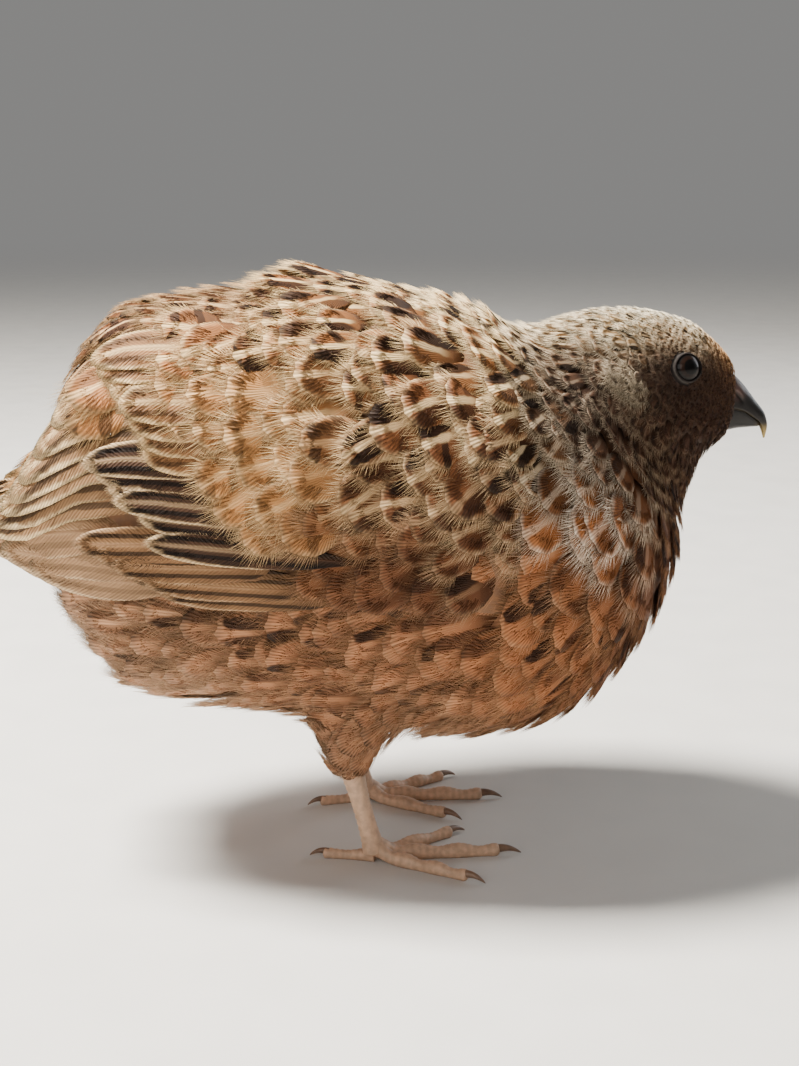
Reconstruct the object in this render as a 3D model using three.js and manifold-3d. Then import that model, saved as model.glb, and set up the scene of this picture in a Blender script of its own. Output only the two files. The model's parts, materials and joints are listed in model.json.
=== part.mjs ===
// A standing coturnix quail hen at life size, in millimetres, +Z up.
// It faces +X, its right side is towards -Y, and the floor under its toes is z = 0.
import * as THREE from "three";
import { mergeVertices } from "three/addons/utils/BufferGeometryUtils.js";
import Module from "manifold-3d";

const wasm = await Module();
wasm.setup();

// Driving dimensions.
const SEAM = 0.3; // gap between neighbouring pieces
const VANE = 0.6; // thickness of a feather vane
const BODY_RINGS = 20;
const BODY_AROUND = 34;
const NECK_GRID = [13, 26]; // rings and points around
const HEAD_GRID = [16, 24];
const SECTION_POWER = 2.25; // a little squarer than an ellipse
const WING_SEED = 7;
const SIDES = { right: -1, left: 1 };

// Each station is a cross-section: x and mid height, half height and half width.
const TORSO = [
  { x: -70, mid: 79, high: 0, half: 0 },
  { x: -63, mid: 78.5, high: 28.5, half: 21 },
  { x: -52, mid: 77, high: 41, half: 30 },
  { x: -32, mid: 76.5, high: 44.5, half: 36.5 },
  { x: -8, mid: 75.2, high: 46.7, half: 39.5 },
  { x: 14, mid: 72.5, high: 46.5, half: 40 },
  { x: 34, mid: 69, high: 42, half: 37 },
  { x: 50, mid: 68, high: 29.5, half: 28.5 },
  { x: 59, mid: 68.5, high: 16, half: 17.5 },
  { x: 64, mid: 69, high: 0, half: 0 },
];
const NECK = [
  { x: 20, mid: 84, high: 0, half: 0 },
  { x: 25, mid: 86, high: 19, half: 20 },
  { x: 36, mid: 88.5, high: 25, half: 23.5 },
  { x: 48, mid: 90, high: 25, half: 20 },
  { x: 57, mid: 90.5, high: 21, half: 15.5 },
  { x: 64, mid: 89.5, high: 14, half: 10 },
  { x: 67.5, mid: 88.5, high: 0, half: 0 },
];
const HEAD = [
  { x: 35, mid: 101.5, high: 0, half: 0 },
  { x: 39, mid: 101.5, high: 10.5, half: 9.5 },
  { x: 47, mid: 100.5, high: 14.6, half: 12.4 },
  { x: 56, mid: 99.6, high: 15.7, half: 12.8 },
  { x: 64, mid: 98.4, high: 15, half: 11.2 },
  { x: 70, mid: 97.7, high: 11.5, half: 8 },
  { x: 74, mid: 97.2, high: 7.6, half: 5 },
  { x: 76.2, mid: 96.6, high: 0, half: 0 },
];
// The outline that the folded wings keep to, past the rump to the wing tips.
const WING_HULL = [
  { x: -98, mid: 75, high: 0, half: 0 },
  { x: -87, mid: 75, high: 6.5, half: 14 },
  { x: -77, mid: 73.5, high: 11.5, half: 21.5 },
  { x: -69, mid: 75.5, high: 22, half: 27 },
  { x: -61, mid: 77.5, high: 33.5, half: 31 },
  { x: -50, mid: 77.5, high: 41.8, half: 34.5 },
  { x: -32, mid: 76.8, high: 45.3, half: 38.2 },
  { x: -8, mid: 75.2, high: 47.4, half: 40.8 },
  { x: 14, mid: 72.5, high: 47.2, half: 41.2 },
  { x: 34, mid: 69, high: 42.7, half: 38 },
  { x: 50, mid: 68, high: 31, half: 30 },
  { x: 65, mid: 68, high: 0, half: 0 },
];

const NECK_CUT = { x: 43, z: 90, lean: 38 }; // lean in degrees, top towards the tail
const HEAD_CUT = { x: 53, z: 98, lean: 32 };

const EYE = { x: 61.7, z: 104.2, radius: 3.7, proud: 1.2 };
const LID = { ring: 3.2, tube: 0.75, out: 1.95 }; // out is measured from the eye's centre
const MOUTH = { back: [64.4, 92.7], front: [78, 94.6], gap: 0.45 };

const HIP = { x: -8, y: 16 };
const CUFF = 19; // height of the feathered cuff's lower end
// Rings down the feathered cuff: how far ahead of the hip, how high over the cuff's end, radius.
const CUFF_RINGS = [
  { ahead: 4, above: 19, radius: 11 },
  { ahead: 2, above: 12, radius: 9.4 },
  { ahead: 0.5, above: 5, radius: 6.2 },
  { ahead: -0.2, above: -1, radius: 3.1 },
];
const CUFF_AROUND = 14;
const FOOT = { x: -3, y: 17, z: 2.2 };
const SHANK = { top: 2.5, waist: 1.9, ankle: 2.5 };
const FOOT_PAD = 3;
const TOE_ROOT = 7; // where each toe parts from the foot, from the foot's centre
const TOES = [
  { name: "inner", turn: 34, length: 21, radius: 1.6, claw: 4.2, joints: 2 },
  { name: "middle", turn: 2, length: 27, radius: 1.75, claw: 4.8, joints: 3 },
  { name: "outer", turn: -32, length: 22, radius: 1.6, claw: 4.2, joints: 3 },
  { name: "hind", turn: 168, length: 11, radius: 1.35, claw: 3.2, joints: 1 },
];

// Small repeatable random numbers, so that every build gives the same feathers.
function seeded(seed) {
  let state = seed * 7919 + 13;
  return () => {
    state = (state * 16807) % 2147483647;
    return state / 2147483647;
  };
}

// Turns a closed three.js geometry into a solid, with its faces pointing out.
function solidOf(geometry) {
  const bare = geometry.index ? geometry.toNonIndexed() : geometry.clone();
  bare.deleteAttribute("normal");
  bare.deleteAttribute("uv");
  const merged = mergeVertices(bare, 1e-4);
  const triVerts = new Uint32Array(merged.index.array);
  const vertProperties = merged.attributes.position.array;
  const solid = new wasm.Manifold(new wasm.Mesh({ numProp: 3, vertProperties, triVerts }));
  if (solid.volume() > 0) return solid;
  for (let i = 0; i < triVerts.length; i += 3) {
    [triVerts[i + 1], triVerts[i + 2]] = [triVerts[i + 2], triVerts[i + 1]];
  }
  return new wasm.Manifold(new wasm.Mesh({ numProp: 3, vertProperties, triVerts }));
}

// Turns a solid back into a geometry for a mesh.
function geometryOf(solid) {
  const mesh = solid.getMesh();
  const count = mesh.vertProperties.length / mesh.numProp;
  const places = new Float32Array(count * 3);
  for (let i = 0; i < count; i += 1) {
    places.set(mesh.vertProperties.subarray(i * mesh.numProp, i * mesh.numProp + 3), i * 3);
  }
  const geometry = new THREE.BufferGeometry();
  geometry.setAttribute("position", new THREE.BufferAttribute(places, 3));
  geometry.setIndex(new THREE.BufferAttribute(new Uint32Array(mesh.triVerts), 1));
  geometry.computeVertexNormals();
  return geometry;
}

// The largest closed surface of a solid, which drops loose scraps and fills sealed hollows.
function largest(solid) {
  return solid.decompose().reduce((best, piece) => (piece.volume() > best.volume() ? piece : best));
}

function joined(solids) {
  return solids.reduce((sum, solid) => sum.add(solid));
}

// A closed solid through rings of equal length, each end closed with a fan.
function ringSolid(rings) {
  const around = rings[0].length;
  const places = rings.flat().flatMap((p) => [p.x, p.y, p.z]);
  const faces = [];
  for (let i = 0; i + 1 < rings.length; i += 1) {
    for (let j = 0; j < around; j += 1) {
      const next = (j + 1) % around;
      const [a, b] = [i * around + j, i * around + next];
      const [c, d] = [a + around, b + around];
      faces.push(a, b, d, a, d, c);
    }
  }
  [0, rings.length - 1].forEach((end) => {
    const centre = rings[end].reduce((sum, p) => sum.clone().add(p)).multiplyScalar(1 / around);
    const hub = places.length / 3;
    places.push(centre.x, centre.y, centre.z);
    for (let j = 0; j < around; j += 1) {
      const [a, b] = [end * around + j, end * around + ((j + 1) % around)];
      faces.push(...(end === 0 ? [hub, b, a] : [hub, a, b]));
    }
  });
  const geometry = new THREE.BufferGeometry();
  geometry.setAttribute("position", new THREE.Float32BufferAttribute(places, 3));
  geometry.setIndex(faces);
  return solidOf(geometry);
}

// Cubic interpolation through values at uneven places, without overshoot.
function smooth(at, values, x) {
  const last = at.length - 1;
  if (x <= at[0]) return values[0];
  if (x >= at[last]) return values[last];
  let i = 0;
  while (x > at[i + 1]) i += 1;
  const slope = (k) => (values[k + 1] - values[k]) / (at[k + 1] - at[k]);
  const tangent = (k) => {
    if (k === 0) return slope(0);
    if (k === last) return slope(last - 1);
    const [before, after] = [slope(k - 1), slope(k)];
    return before * after <= 0 ? 0 : (2 * before * after) / (before + after);
  };
  const span = at[i + 1] - at[i];
  const t = (x - at[i]) / span;
  return (
    values[i] * (1 + 2 * t) * (1 - t) ** 2 +
    tangent(i) * span * t * (1 - t) ** 2 +
    values[i + 1] * t * t * (3 - 2 * t) +
    tangent(i + 1) * span * t * t * (t - 1)
  );
}

// A section of a form at x. Squares of the sizes are interpolated, so that the ends come out round.
function section(stations, x) {
  const at = stations.map((s) => s.x);
  const root = (key) => Math.sqrt(Math.max(0, smooth(at, stations.map((s) => s[key] ** 2), x)));
  return { mid: smooth(at, stations.map((s) => s.mid), x), high: root("high"), half: root("half") };
}

// A point of a form: angle 0 is the bird's side at mid height, 90 the top, grown outwards by extra.
function formPoint(stations, x, degrees, side, extra = 0) {
  const { mid, high, half } = section(stations, x);
  const angle = THREE.MathUtils.degToRad(degrees);
  const bent = (v) => Math.sign(v) * Math.abs(v) ** (2 / SECTION_POWER);
  const y = side * (half + extra) * bent(Math.cos(angle));
  return new THREE.Vector3(x, y, mid + (high + extra) * bent(Math.sin(angle)));
}

// The whole form as a solid, grown outwards by extra.
function formSolid(stations, extra = 0, rings = BODY_RINGS, around = BODY_AROUND) {
  const first = stations[0].x;
  const last = stations[stations.length - 1].x;
  const middle = (first + last) / 2;
  const reach = (last - first) / 2;
  const loops = [];
  for (let i = 1; i < rings; i += 1) {
    const share = -Math.cos((Math.PI * i) / rings);
    const x = middle + reach * share;
    const loop = [];
    for (let j = 0; j < around; j += 1) {
      const point = formPoint(stations, x, (360 * j) / around, 1, extra);
      point.x += extra * share;
      loop.push(point);
    }
    loops.push(loop);
  }
  return ringSolid(loops);
}

// A large block that holds everything on one side of a leaning plane.
function halfSpace({ x, z, lean }, ahead, gap) {
  const size = 400;
  const block = new THREE.BoxGeometry(size, size, size);
  block.translate((ahead ? 1 : -1) * (size / 2 - gap / 2), 0, 0);
  block.rotateY(THREE.MathUtils.degToRad(-lean));
  block.translate(x, 0, z);
  return solidOf(block);
}

// A closed plate from a grid of middle points and normals, split alike on both faces.
function plate(grid, thickness) {
  const rows = grid.length;
  const columns = grid[0].length;
  const count = rows * columns;
  const places = [];
  [0.5, -0.5].forEach((share) => {
    grid.flat().forEach(({ point, normal }) => {
      const moved = point.clone().addScaledVector(normal, share * thickness);
      places.push(moved.x, moved.y, moved.z);
    });
  });
  const faces = [];
  for (let i = 0; i + 1 < rows; i += 1) {
    for (let j = 0; j + 1 < columns; j += 1) {
      const a = i * columns + j;
      const [b, c, d] = [a + 1, a + columns, a + columns + 1];
      faces.push(a, c, d, a, d, b);
      faces.push(a + count, d + count, c + count, a + count, b + count, d + count);
    }
  }
  const rim = [];
  for (let j = 0; j < columns; j += 1) rim.push(j);
  for (let i = 1; i < rows; i += 1) rim.push(i * columns + columns - 1);
  for (let j = columns - 2; j >= 0; j -= 1) rim.push((rows - 1) * columns + j);
  for (let i = rows - 2; i > 0; i -= 1) rim.push(i * columns);
  rim.forEach((a, k) => {
    const b = rim[(k + 1) % rim.length];
    faces.push(a, b, b + count, a, b + count, a + count);
  });
  const geometry = new THREE.BufferGeometry();
  geometry.setAttribute("position", new THREE.Float32BufferAttribute(places, 3));
  geometry.setIndex(faces);
  return solidOf(geometry);
}

const VANE_STEPS = [
  { along: 0, wide: 0.5 },
  { along: 0.42, wide: 0.96 },
  { along: 0.86, wide: 0.94 },
  { along: 1, wide: 0.36 },
];

// A feather laid over a form from a root to a tip, both given as x and angle. It starts sunk in
// the core and rises to its tier's lift, and roll raises its lower edge over its neighbour.
function feather(form, side, { from, to, width, lift, sunk = -1.4, roll = 0, camber = 0.05 }) {
  const at = (s) => {
    const x = THREE.MathUtils.lerp(from[0], to[0], s);
    const degrees = THREE.MathUtils.lerp(from[1], to[1], s);
    return { x, degrees };
  };
  const surface = (s) => {
    const { x, degrees } = at(s);
    const point = formPoint(form, x, degrees, side);
    const ahead = formPoint(form, x + 0.5, degrees, side).sub(point);
    const around = formPoint(form, x, degrees + 1, side).sub(point);
    const normal = ahead.cross(around).normalize().multiplyScalar(-side);
    return { point, normal };
  };
  const grid = VANE_STEPS.map(({ along, wide }) => {
    const { point, normal } = surface(along);
    const run = surface(Math.min(1, along + 0.02)).point.sub(surface(Math.max(0, along - 0.02)).point);
    const across = normal.clone().cross(run).normalize().multiplyScalar(-side);
    const rise = sunk + (lift - sunk) * Math.min(1, along / 0.42);
    point.addScaledVector(normal, rise);
    return [-1, 0, 1].map((k) => ({
      point: point
        .clone()
        .addScaledVector(across, (k * width * wide) / 2)
        .addScaledVector(normal, (k * roll - Math.abs(k) * camber) * width * wide),
      normal,
    }));
  });
  return plate(grid, VANE);
}

// A row of feathers whose roots and tips run evenly between the row's first and last one.
function featherRow(form, side, random, { count, first, last, lift, roll = 0.08, vary = 1 }) {
  const row = [];
  for (let i = 0; i < count; i += 1) {
    const share = count > 1 ? i / (count - 1) : 0;
    const mix = (a, b) => THREE.MathUtils.lerp(a, b, share);
    const shift = () => (random() - 0.5) * vary;
    row.push(
      feather(form, side, {
        from: [mix(first.from[0], last.from[0]), mix(first.from[1], last.from[1])],
        to: [mix(first.to[0], last.to[0]) + shift(), mix(first.to[1], last.to[1]) + shift()],
        width: mix(first.width, last.width),
        lift,
        roll,
      }),
    );
  }
  return row;
}

// The muscle and covert pad under the wing's feathers, faired into the body at its edges.
function wingCore(side) {
  const [rows, columns] = [9, 6];
  const grid = [];
  for (let i = 0; i <= rows; i += 1) {
    const u = i / rows;
    const x = THREE.MathUtils.lerp(WING_PAD.front, WING_PAD.back, u);
    const low = THREE.MathUtils.lerp(WING_PAD.lowFront, WING_PAD.lowBack, u);
    const high = THREE.MathUtils.lerp(WING_PAD.highFront, WING_PAD.highBack, u);
    const line = [];
    for (let j = 0; j <= columns; j += 1) {
      const v = j / columns;
      const degrees = THREE.MathUtils.lerp(low, high, v);
      const fade = Math.min(1, 3.5 * Math.sin(Math.PI * u) * Math.sin(Math.PI * v));
      const lift = THREE.MathUtils.lerp(-WING_PAD.sunk, WING_PAD.lift, fade);
      const outer = formPoint(WING_HULL, x, degrees, side, lift - WING_PAD.deep / 2);
      const inner = formPoint(WING_HULL, x, degrees, side, lift - WING_PAD.deep);
      line.push({ point: outer, normal: outer.clone().sub(inner).normalize() });
    }
    grid.push(line);
  }
  return plate(grid, WING_PAD.deep);
}

const WING_PAD = {
  front: 20,
  back: -64,
  lowFront: -15,
  lowBack: -18,
  highFront: 88,
  highBack: 40,
  lift: 1,
  sunk: 1.8,
  deep: 5,
};

// A folded wing: rows of flight feathers and coverts, each running from its lowest feather up.
const WING_ROWS = [
  {
    // primaries, which end the wing
    count: 5,
    first: { from: [-36, -10], to: [-72, -17], width: 7.5 },
    last: { from: [-44, 0], to: [-87, 2], width: 9 },
    lift: 0,
    roll: 0.1,
  },
  {
    // secondaries and long inner feathers
    count: 4,
    first: { from: [-34, 6], to: [-82, 16], width: 10 },
    last: { from: [-36, 36], to: [-65, 42], width: 12 },
    lift: 0.8,
    roll: 0.1,
  },
  {
    // primary coverts and thumb feathers along the lower edge
    count: 3,
    first: { from: [-6, -12], to: [-42, -13], width: 6 },
    last: { from: [-28, 0], to: [-62, -3], width: 7.5 },
    lift: 1.5,
    roll: 0.1,
  },
  {
    // greater coverts
    count: 5,
    first: { from: [-16, 2], to: [-47, 3], width: 10.5 },
    last: { from: [-24, 42], to: [-57, 46], width: 12 },
    lift: 2.3,
  },
  {
    // median coverts
    count: 4,
    first: { from: [3, -6], to: [-25, -3], width: 11 },
    last: { from: [-6, 40], to: [-33, 44], width: 12 },
    lift: 3.1,
  },
  {
    // scapulars, over the shoulder
    count: 4,
    first: { from: [16, 16], to: [-11, 13], width: 13 },
    last: { from: [10, 66], to: [-27, 70], width: 12 },
    lift: 3.7,
  },
];

function wing(side, blocked) {
  const random = seeded(WING_SEED);
  const vanes = WING_ROWS.flatMap((row) => featherRow(WING_HULL, side, random, row));
  return largest(joined([wingCore(side), ...vanes]).subtract(blocked));
}

// A tube along points with a radius at each.
function tube(points, radii, around = 8) {
  const curve = new THREE.CatmullRomCurve3(points);
  const rings = points.map((point, i) => {
    const run = curve.getTangent(i / (points.length - 1));
    const across = new THREE.Vector3(-run.y, run.x, 0);
    if (across.lengthSq() < 1e-6) across.set(0, 1, 0);
    across.normalize();
    const up = run.clone().cross(across).normalize();
    const ring = [];
    for (let j = 0; j < around; j += 1) {
      const angle = (2 * Math.PI * (j + 0.5)) / around;
      ring.push(
        point
          .clone()
          .addScaledVector(across, radii[i] * Math.cos(angle))
          .addScaledVector(up, radii[i] * Math.sin(angle)),
      );
    }
    return ring;
  });
  return ringSolid(rings);
}

const wholeTorso = formSolid(TORSO);
const wholeNeck = formSolid(NECK, 0, ...NECK_GRID);
const wholeHead = formSolid(HEAD, 0, ...HEAD_GRID);
const body = joined([wholeTorso, wholeNeck, wholeHead]);
const bodyGrown = joined([
  formSolid(TORSO, SEAM),
  formSolid(NECK, SEAM, ...NECK_GRID),
  formSolid(HEAD, SEAM, ...HEAD_GRID),
]);

function torso() {
  return largest(body.subtract(halfSpace(NECK_CUT, true, SEAM)));
}

function neck() {
  return largest(
    body.subtract(halfSpace(NECK_CUT, false, SEAM)).subtract(halfSpace(HEAD_CUT, true, SEAM)),
  );
}

function eyePlace(side) {
  const { half } = section(HEAD, EYE.x);
  return new THREE.Vector3(EYE.x, side * (half + EYE.proud - EYE.radius), EYE.z);
}

function eyeball(side, radius) {
  const place = eyePlace(side);
  const ball = new THREE.SphereGeometry(radius, 14, 8);
  ball.translate(place.x, place.y, place.z);
  return solidOf(ball);
}

function lidRing(side) {
  const place = eyePlace(side);
  const ring = new THREE.TorusGeometry(LID.ring, LID.tube, 6, 16);
  ring.rotateX(Math.PI / 2);
  ring.translate(place.x, place.y + side * LID.out, place.z);
  return solidOf(ring);
}

function head() {
  const run = [MOUTH.front[0] - MOUTH.back[0], MOUTH.front[1] - MOUTH.back[1]];
  const mouth = new THREE.BoxGeometry(Math.hypot(...run), 30, MOUTH.gap);
  mouth.rotateY(-Math.atan2(run[1], run[0]));
  mouth.translate((MOUTH.front[0] + MOUTH.back[0]) / 2, 0, (MOUTH.front[1] + MOUTH.back[1]) / 2);
  const faced = body.subtract(halfSpace(HEAD_CUT, false, SEAM)).subtract(solidOf(mouth));
  const lidded = joined([faced, lidRing(-1), lidRing(1)]);
  const eyes = joined([eyeball(-1, EYE.radius + SEAM), eyeball(1, EYE.radius + SEAM)]);
  return largest(lidded.subtract(eyes));
}

// Each bill half runs between its biting edge and its ridge, and half is its half width.
const UPPER_BILL = [
  { ridge: [72.8, 104], edge: [69.5, 94], half: 4.4 },
  { ridge: [75.3, 101.8], edge: [73, 94.7], half: 3.9 },
  { ridge: [77.4, 99.5], edge: [76.4, 94.2], half: 3.3 },
  { ridge: [80.1, 96.1], edge: [78.9, 92.9], half: 2.5 },
  { ridge: [82.3, 93.4], edge: [80.9, 91.4], half: 1.6 },
  { ridge: [83, 90.5], edge: [81.9, 89.4], half: 0.85 },
  { ridge: [82.5, 87.9], edge: [82.3, 87.8], half: 0.25 },
];
const LOWER_BILL = [
  { ridge: [69.4, 88.2], edge: [69.4, 93.9], half: 4 },
  { ridge: [73.4, 89.8], edge: [73.2, 94.5], half: 3.4 },
  { ridge: [76.4, 90.5], edge: [76.1, 94], half: 2.8 },
  { ridge: [78.8, 90.3], edge: [78.5, 92.8], half: 2 },
  { ridge: [80.5, 89.8], edge: [80.3, 91.2], half: 1.1 },
];
const NOSTRIL = { x: 76.2, y: 3.1, z: 97.4, length: 2.6, height: 0.9, slope: 42 };
const BITE = 0.4; // gap between the two halves of the bill

// A bill half: an arch over its ridge, closed by a flat floor between its biting edges.
function billHalf(lines) {
  const arch = 8;
  const rings = lines.map(({ ridge, edge, half }) => {
    const at = (y, share) =>
      new THREE.Vector3(
        THREE.MathUtils.lerp(edge[0], ridge[0], share),
        y,
        THREE.MathUtils.lerp(edge[1], ridge[1], share),
      );
    const ring = [];
    for (let j = 0; j <= arch; j += 1) {
      const angle = (Math.PI * j) / arch;
      ring.push(at(half * Math.cos(angle), Math.sin(angle) ** 0.85));
    }
    [-0.5, 0, 0.5].forEach((share) => ring.push(at(half * share, 0.06)));
    return ring;
  });
  return ringSolid(rings);
}

function upperBill() {
  let bill = billHalf(UPPER_BILL).subtract(bodyGrown);
  Object.values(SIDES).forEach((side) => {
    const slit = new THREE.SphereGeometry(1, 8, 6);
    slit.scale(NOSTRIL.length / 2, 1.1, NOSTRIL.height / 2);
    slit.rotateY(THREE.MathUtils.degToRad(NOSTRIL.slope));
    slit.translate(NOSTRIL.x, side * NOSTRIL.y, NOSTRIL.z);
    bill = bill.subtract(solidOf(slit));
  });
  return largest(bill);
}

function lowerBill() {
  const roof = billHalf(UPPER_BILL).translate(0, 0, -BITE);
  return largest(billHalf(LOWER_BILL).subtract(bodyGrown).subtract(roof));
}

// The tail lies under the wing tips: a core with a fan of feathers and their coverts.
const TAIL_FORM = [
  { x: -92, mid: 70, high: 0, half: 0 },
  { x: -84, mid: 70.5, high: 6, half: 9.5 },
  { x: -75, mid: 71.5, high: 10.5, half: 14 },
  { x: -66, mid: 73.5, high: 17.5, half: 18 },
  { x: -54, mid: 77, high: 25, half: 21 },
  { x: -44, mid: 78, high: 0, half: 0 },
];
const TAIL_CORE = [
  { x: -80, mid: 71, high: 0, half: 0 },
  { x: -74, mid: 72, high: 10, half: 12.5 },
  { x: -66, mid: 73.5, high: 17, half: 17.4 },
  { x: -54, mid: 77, high: 24.4, half: 20.4 },
  { x: -44, mid: 78, high: 0, half: 0 },
];
const TAIL_CORE_GRID = [8, 14]; // rings and points around
const TAIL_ROWS = [
  { lift: 0, count: 3, low: 12, high: 82, width: 9, from: -60, to: -85, shorter: 0.6 },
  { lift: 1.2, count: 2, low: 30, high: 74, width: 11, from: -57, to: -77, shorter: 0.6 },
];
const TAIL_ROLL = 0.07;

function tail(blocked) {
  const vanes = TAIL_ROWS.flatMap(({ lift, count, low, high, width, from, to, shorter }) =>
    Object.values(SIDES).flatMap((side) =>
      Array.from({ length: count }, (_, i) => {
        const angle = THREE.MathUtils.lerp(low, high, i / (count - 1));
        const tip = [to + shorter * i, angle];
        return feather(TAIL_FORM, side, { from: [from, angle], to: tip, width, lift, roll: TAIL_ROLL });
      }),
    ),
  );
  return largest(joined([formSolid(TAIL_CORE, 0, ...TAIL_CORE_GRID), ...vanes]).subtract(blocked));
}

// Blocks that hold everything above or below a height.
function above(height) {
  return solidOf(new THREE.BoxGeometry(400, 400, 200).translate(0, 0, height + 100));
}

function below(height) {
  return solidOf(new THREE.BoxGeometry(400, 400, 200).translate(0, 0, height - 100));
}

// The feathered end of the lower thigh, where it leaves the belly.
function thigh(side) {
  const points = CUFF_RINGS.map((r) => new THREE.Vector3(HIP.x + r.ahead, side * HIP.y, CUFF + r.above));
  const cuff = tube(points, CUFF_RINGS.map((r) => r.radius), CUFF_AROUND);
  return largest(cuff.subtract(bodyGrown).subtract(below(CUFF)));
}

// Where a toe runs: out from the foot pad, level along the floor.
function toeRun(side, toe) {
  const turn = THREE.MathUtils.degToRad(-side * toe.turn);
  return new THREE.Vector3(Math.cos(turn), Math.sin(turn), 0);
}

function footCentre(side) {
  return new THREE.Vector3(FOOT.x, side * FOOT.y, 0);
}

// A toe as a tube between two distances from the foot's centre, with a swelling at each joint.
function toeTube(side, toe, start, end, steps) {
  const run = toeRun(side, toe);
  const points = [];
  const radii = [];
  for (let i = 0; i <= steps; i += 1) {
    const reach = THREE.MathUtils.lerp(start, end, i / steps);
    const s = reach / toe.length;
    const radius = toe.radius * (1 - 0.28 * s + 0.09 * Math.cos(s * Math.PI * toe.joints * 2));
    points.push(footCentre(side).addScaledVector(run, reach).setZ(0.85 * radius));
    radii.push(radius);
  }
  return tube(points, radii, 8);
}

function leg(side) {
  const top = new THREE.Vector3(HIP.x, side * HIP.y, CUFF + 2);
  const foot = footCentre(side).setZ(FOOT.z);
  const steps = 6;
  const points = [];
  const radii = [];
  for (let i = 0; i <= steps; i += 1) {
    const s = i / steps;
    points.push(top.clone().lerp(foot, s));
    const flare = (SHANK.top - SHANK.waist) * (1 - s) ** 3 + (SHANK.ankle - SHANK.waist) * s ** 4;
    radii.push(SHANK.waist + flare);
  }
  const pad = new THREE.SphereGeometry(FOOT_PAD, 10, 6);
  pad.scale(1, 1, 0.8);
  pad.translate(foot.x, foot.y, FOOT.z);
  const stubs = TOES.map((toe) => toeTube(side, toe, 0, TOE_ROOT, 2));
  const whole = joined([tube(points, radii, 8), solidOf(pad), ...stubs]);
  return largest(whole.subtract(below(0)).subtract(above(CUFF - SEAM)));
}

function toeSolid(side, toe) {
  return largest(toeTube(side, toe, TOE_ROOT + SEAM, toe.length, 5).subtract(below(0)));
}

function clawSolid(side, toe) {
  const run = toeRun(side, toe);
  const steps = 4;
  const points = [];
  const radii = [];
  for (let i = 0; i <= steps; i += 1) {
    const s = i / steps;
    const height = 1.25 + 0.35 * Math.sin(2.4 * s) - 1.05 * s * s;
    const reach = toe.length + SEAM + s * toe.claw;
    points.push(footCentre(side).addScaledVector(run, reach).setZ(height));
    radii.push(toe.radius * 0.55 * (1 - s) ** 0.8 + 0.14);
  }
  return largest(tube(points, radii, 6).subtract(below(0)));
}

const FEATHER_BROWN = new THREE.MeshStandardMaterial({ color: 0xa9764a, roughness: 0.8, metalness: 0 });
const WING_BUFF = new THREE.MeshStandardMaterial({ color: 0xc69a6a, roughness: 0.75, metalness: 0 });
const TAIL_BUFF = new THREE.MeshStandardMaterial({ color: 0xbb9a78, roughness: 0.75, metalness: 0 });
const HEAD_BROWN = new THREE.MeshStandardMaterial({ color: 0x6b4f38, roughness: 0.8, metalness: 0 });
const BILL_HORN = new THREE.MeshStandardMaterial({ color: 0x3d3631, roughness: 0.4, metalness: 0 });
const EYE_DARK = new THREE.MeshStandardMaterial({ color: 0x140d09, roughness: 0.08, metalness: 0 });
const LEG_SKIN = new THREE.MeshStandardMaterial({ color: 0xc9a183, roughness: 0.6, metalness: 0 });
const CLAW_HORN = new THREE.MeshStandardMaterial({ color: 0x8a6f58, roughness: 0.45, metalness: 0 });

const quail = new THREE.Group();

function place(name, solid, material) {
  const mesh = new THREE.Mesh(geometryOf(solid), material);
  mesh.name = name;
  quail.add(mesh);
}

place("torso", torso(), FEATHER_BROWN);
place("neck", neck(), HEAD_BROWN);
place("head", head(), HEAD_BROWN);
place("bill_upper", upperBill(), BILL_HORN);
place("bill_lower", lowerBill(), BILL_HORN);
place("tail", tail(bodyGrown), TAIL_BUFF);
Object.entries(SIDES).forEach(([sideName, side]) => {
  place(`eye_${sideName}`, eyeball(side, EYE.radius), EYE_DARK);
  place(`wing_${sideName}`, wing(side, bodyGrown), WING_BUFF);
  place(`thigh_${sideName}`, thigh(side), FEATHER_BROWN);
  place(`leg_${sideName}`, leg(side), LEG_SKIN);
  TOES.forEach((toe) => {
    place(`toe_${sideName}_${toe.name}`, toeSolid(side, toe), LEG_SKIN);
    place(`claw_${sideName}_${toe.name}`, clawSolid(side, toe), CLAW_HORN);
  });
});

// Standing over the origin: the model's length is centred on it.
const span = new THREE.Box3().setFromObject(quail);
quail.children.forEach((mesh) => mesh.geometry.translate(-(span.min.x + span.max.x) / 2, 0, 0));

export default quail;
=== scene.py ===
"""A coturnix quail hen at life size: a still model with folded wings, seen from its right side.

Lengths in the tables are millimetres in the bird's own frame, where x runs to the bill, y to the
left wing and z up from the floor. Meshes are written in metres, moved ahead to where the frame has them.
"""
from functools import partial
import json
import math
import bpy
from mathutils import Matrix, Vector
import numpy as np

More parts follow.
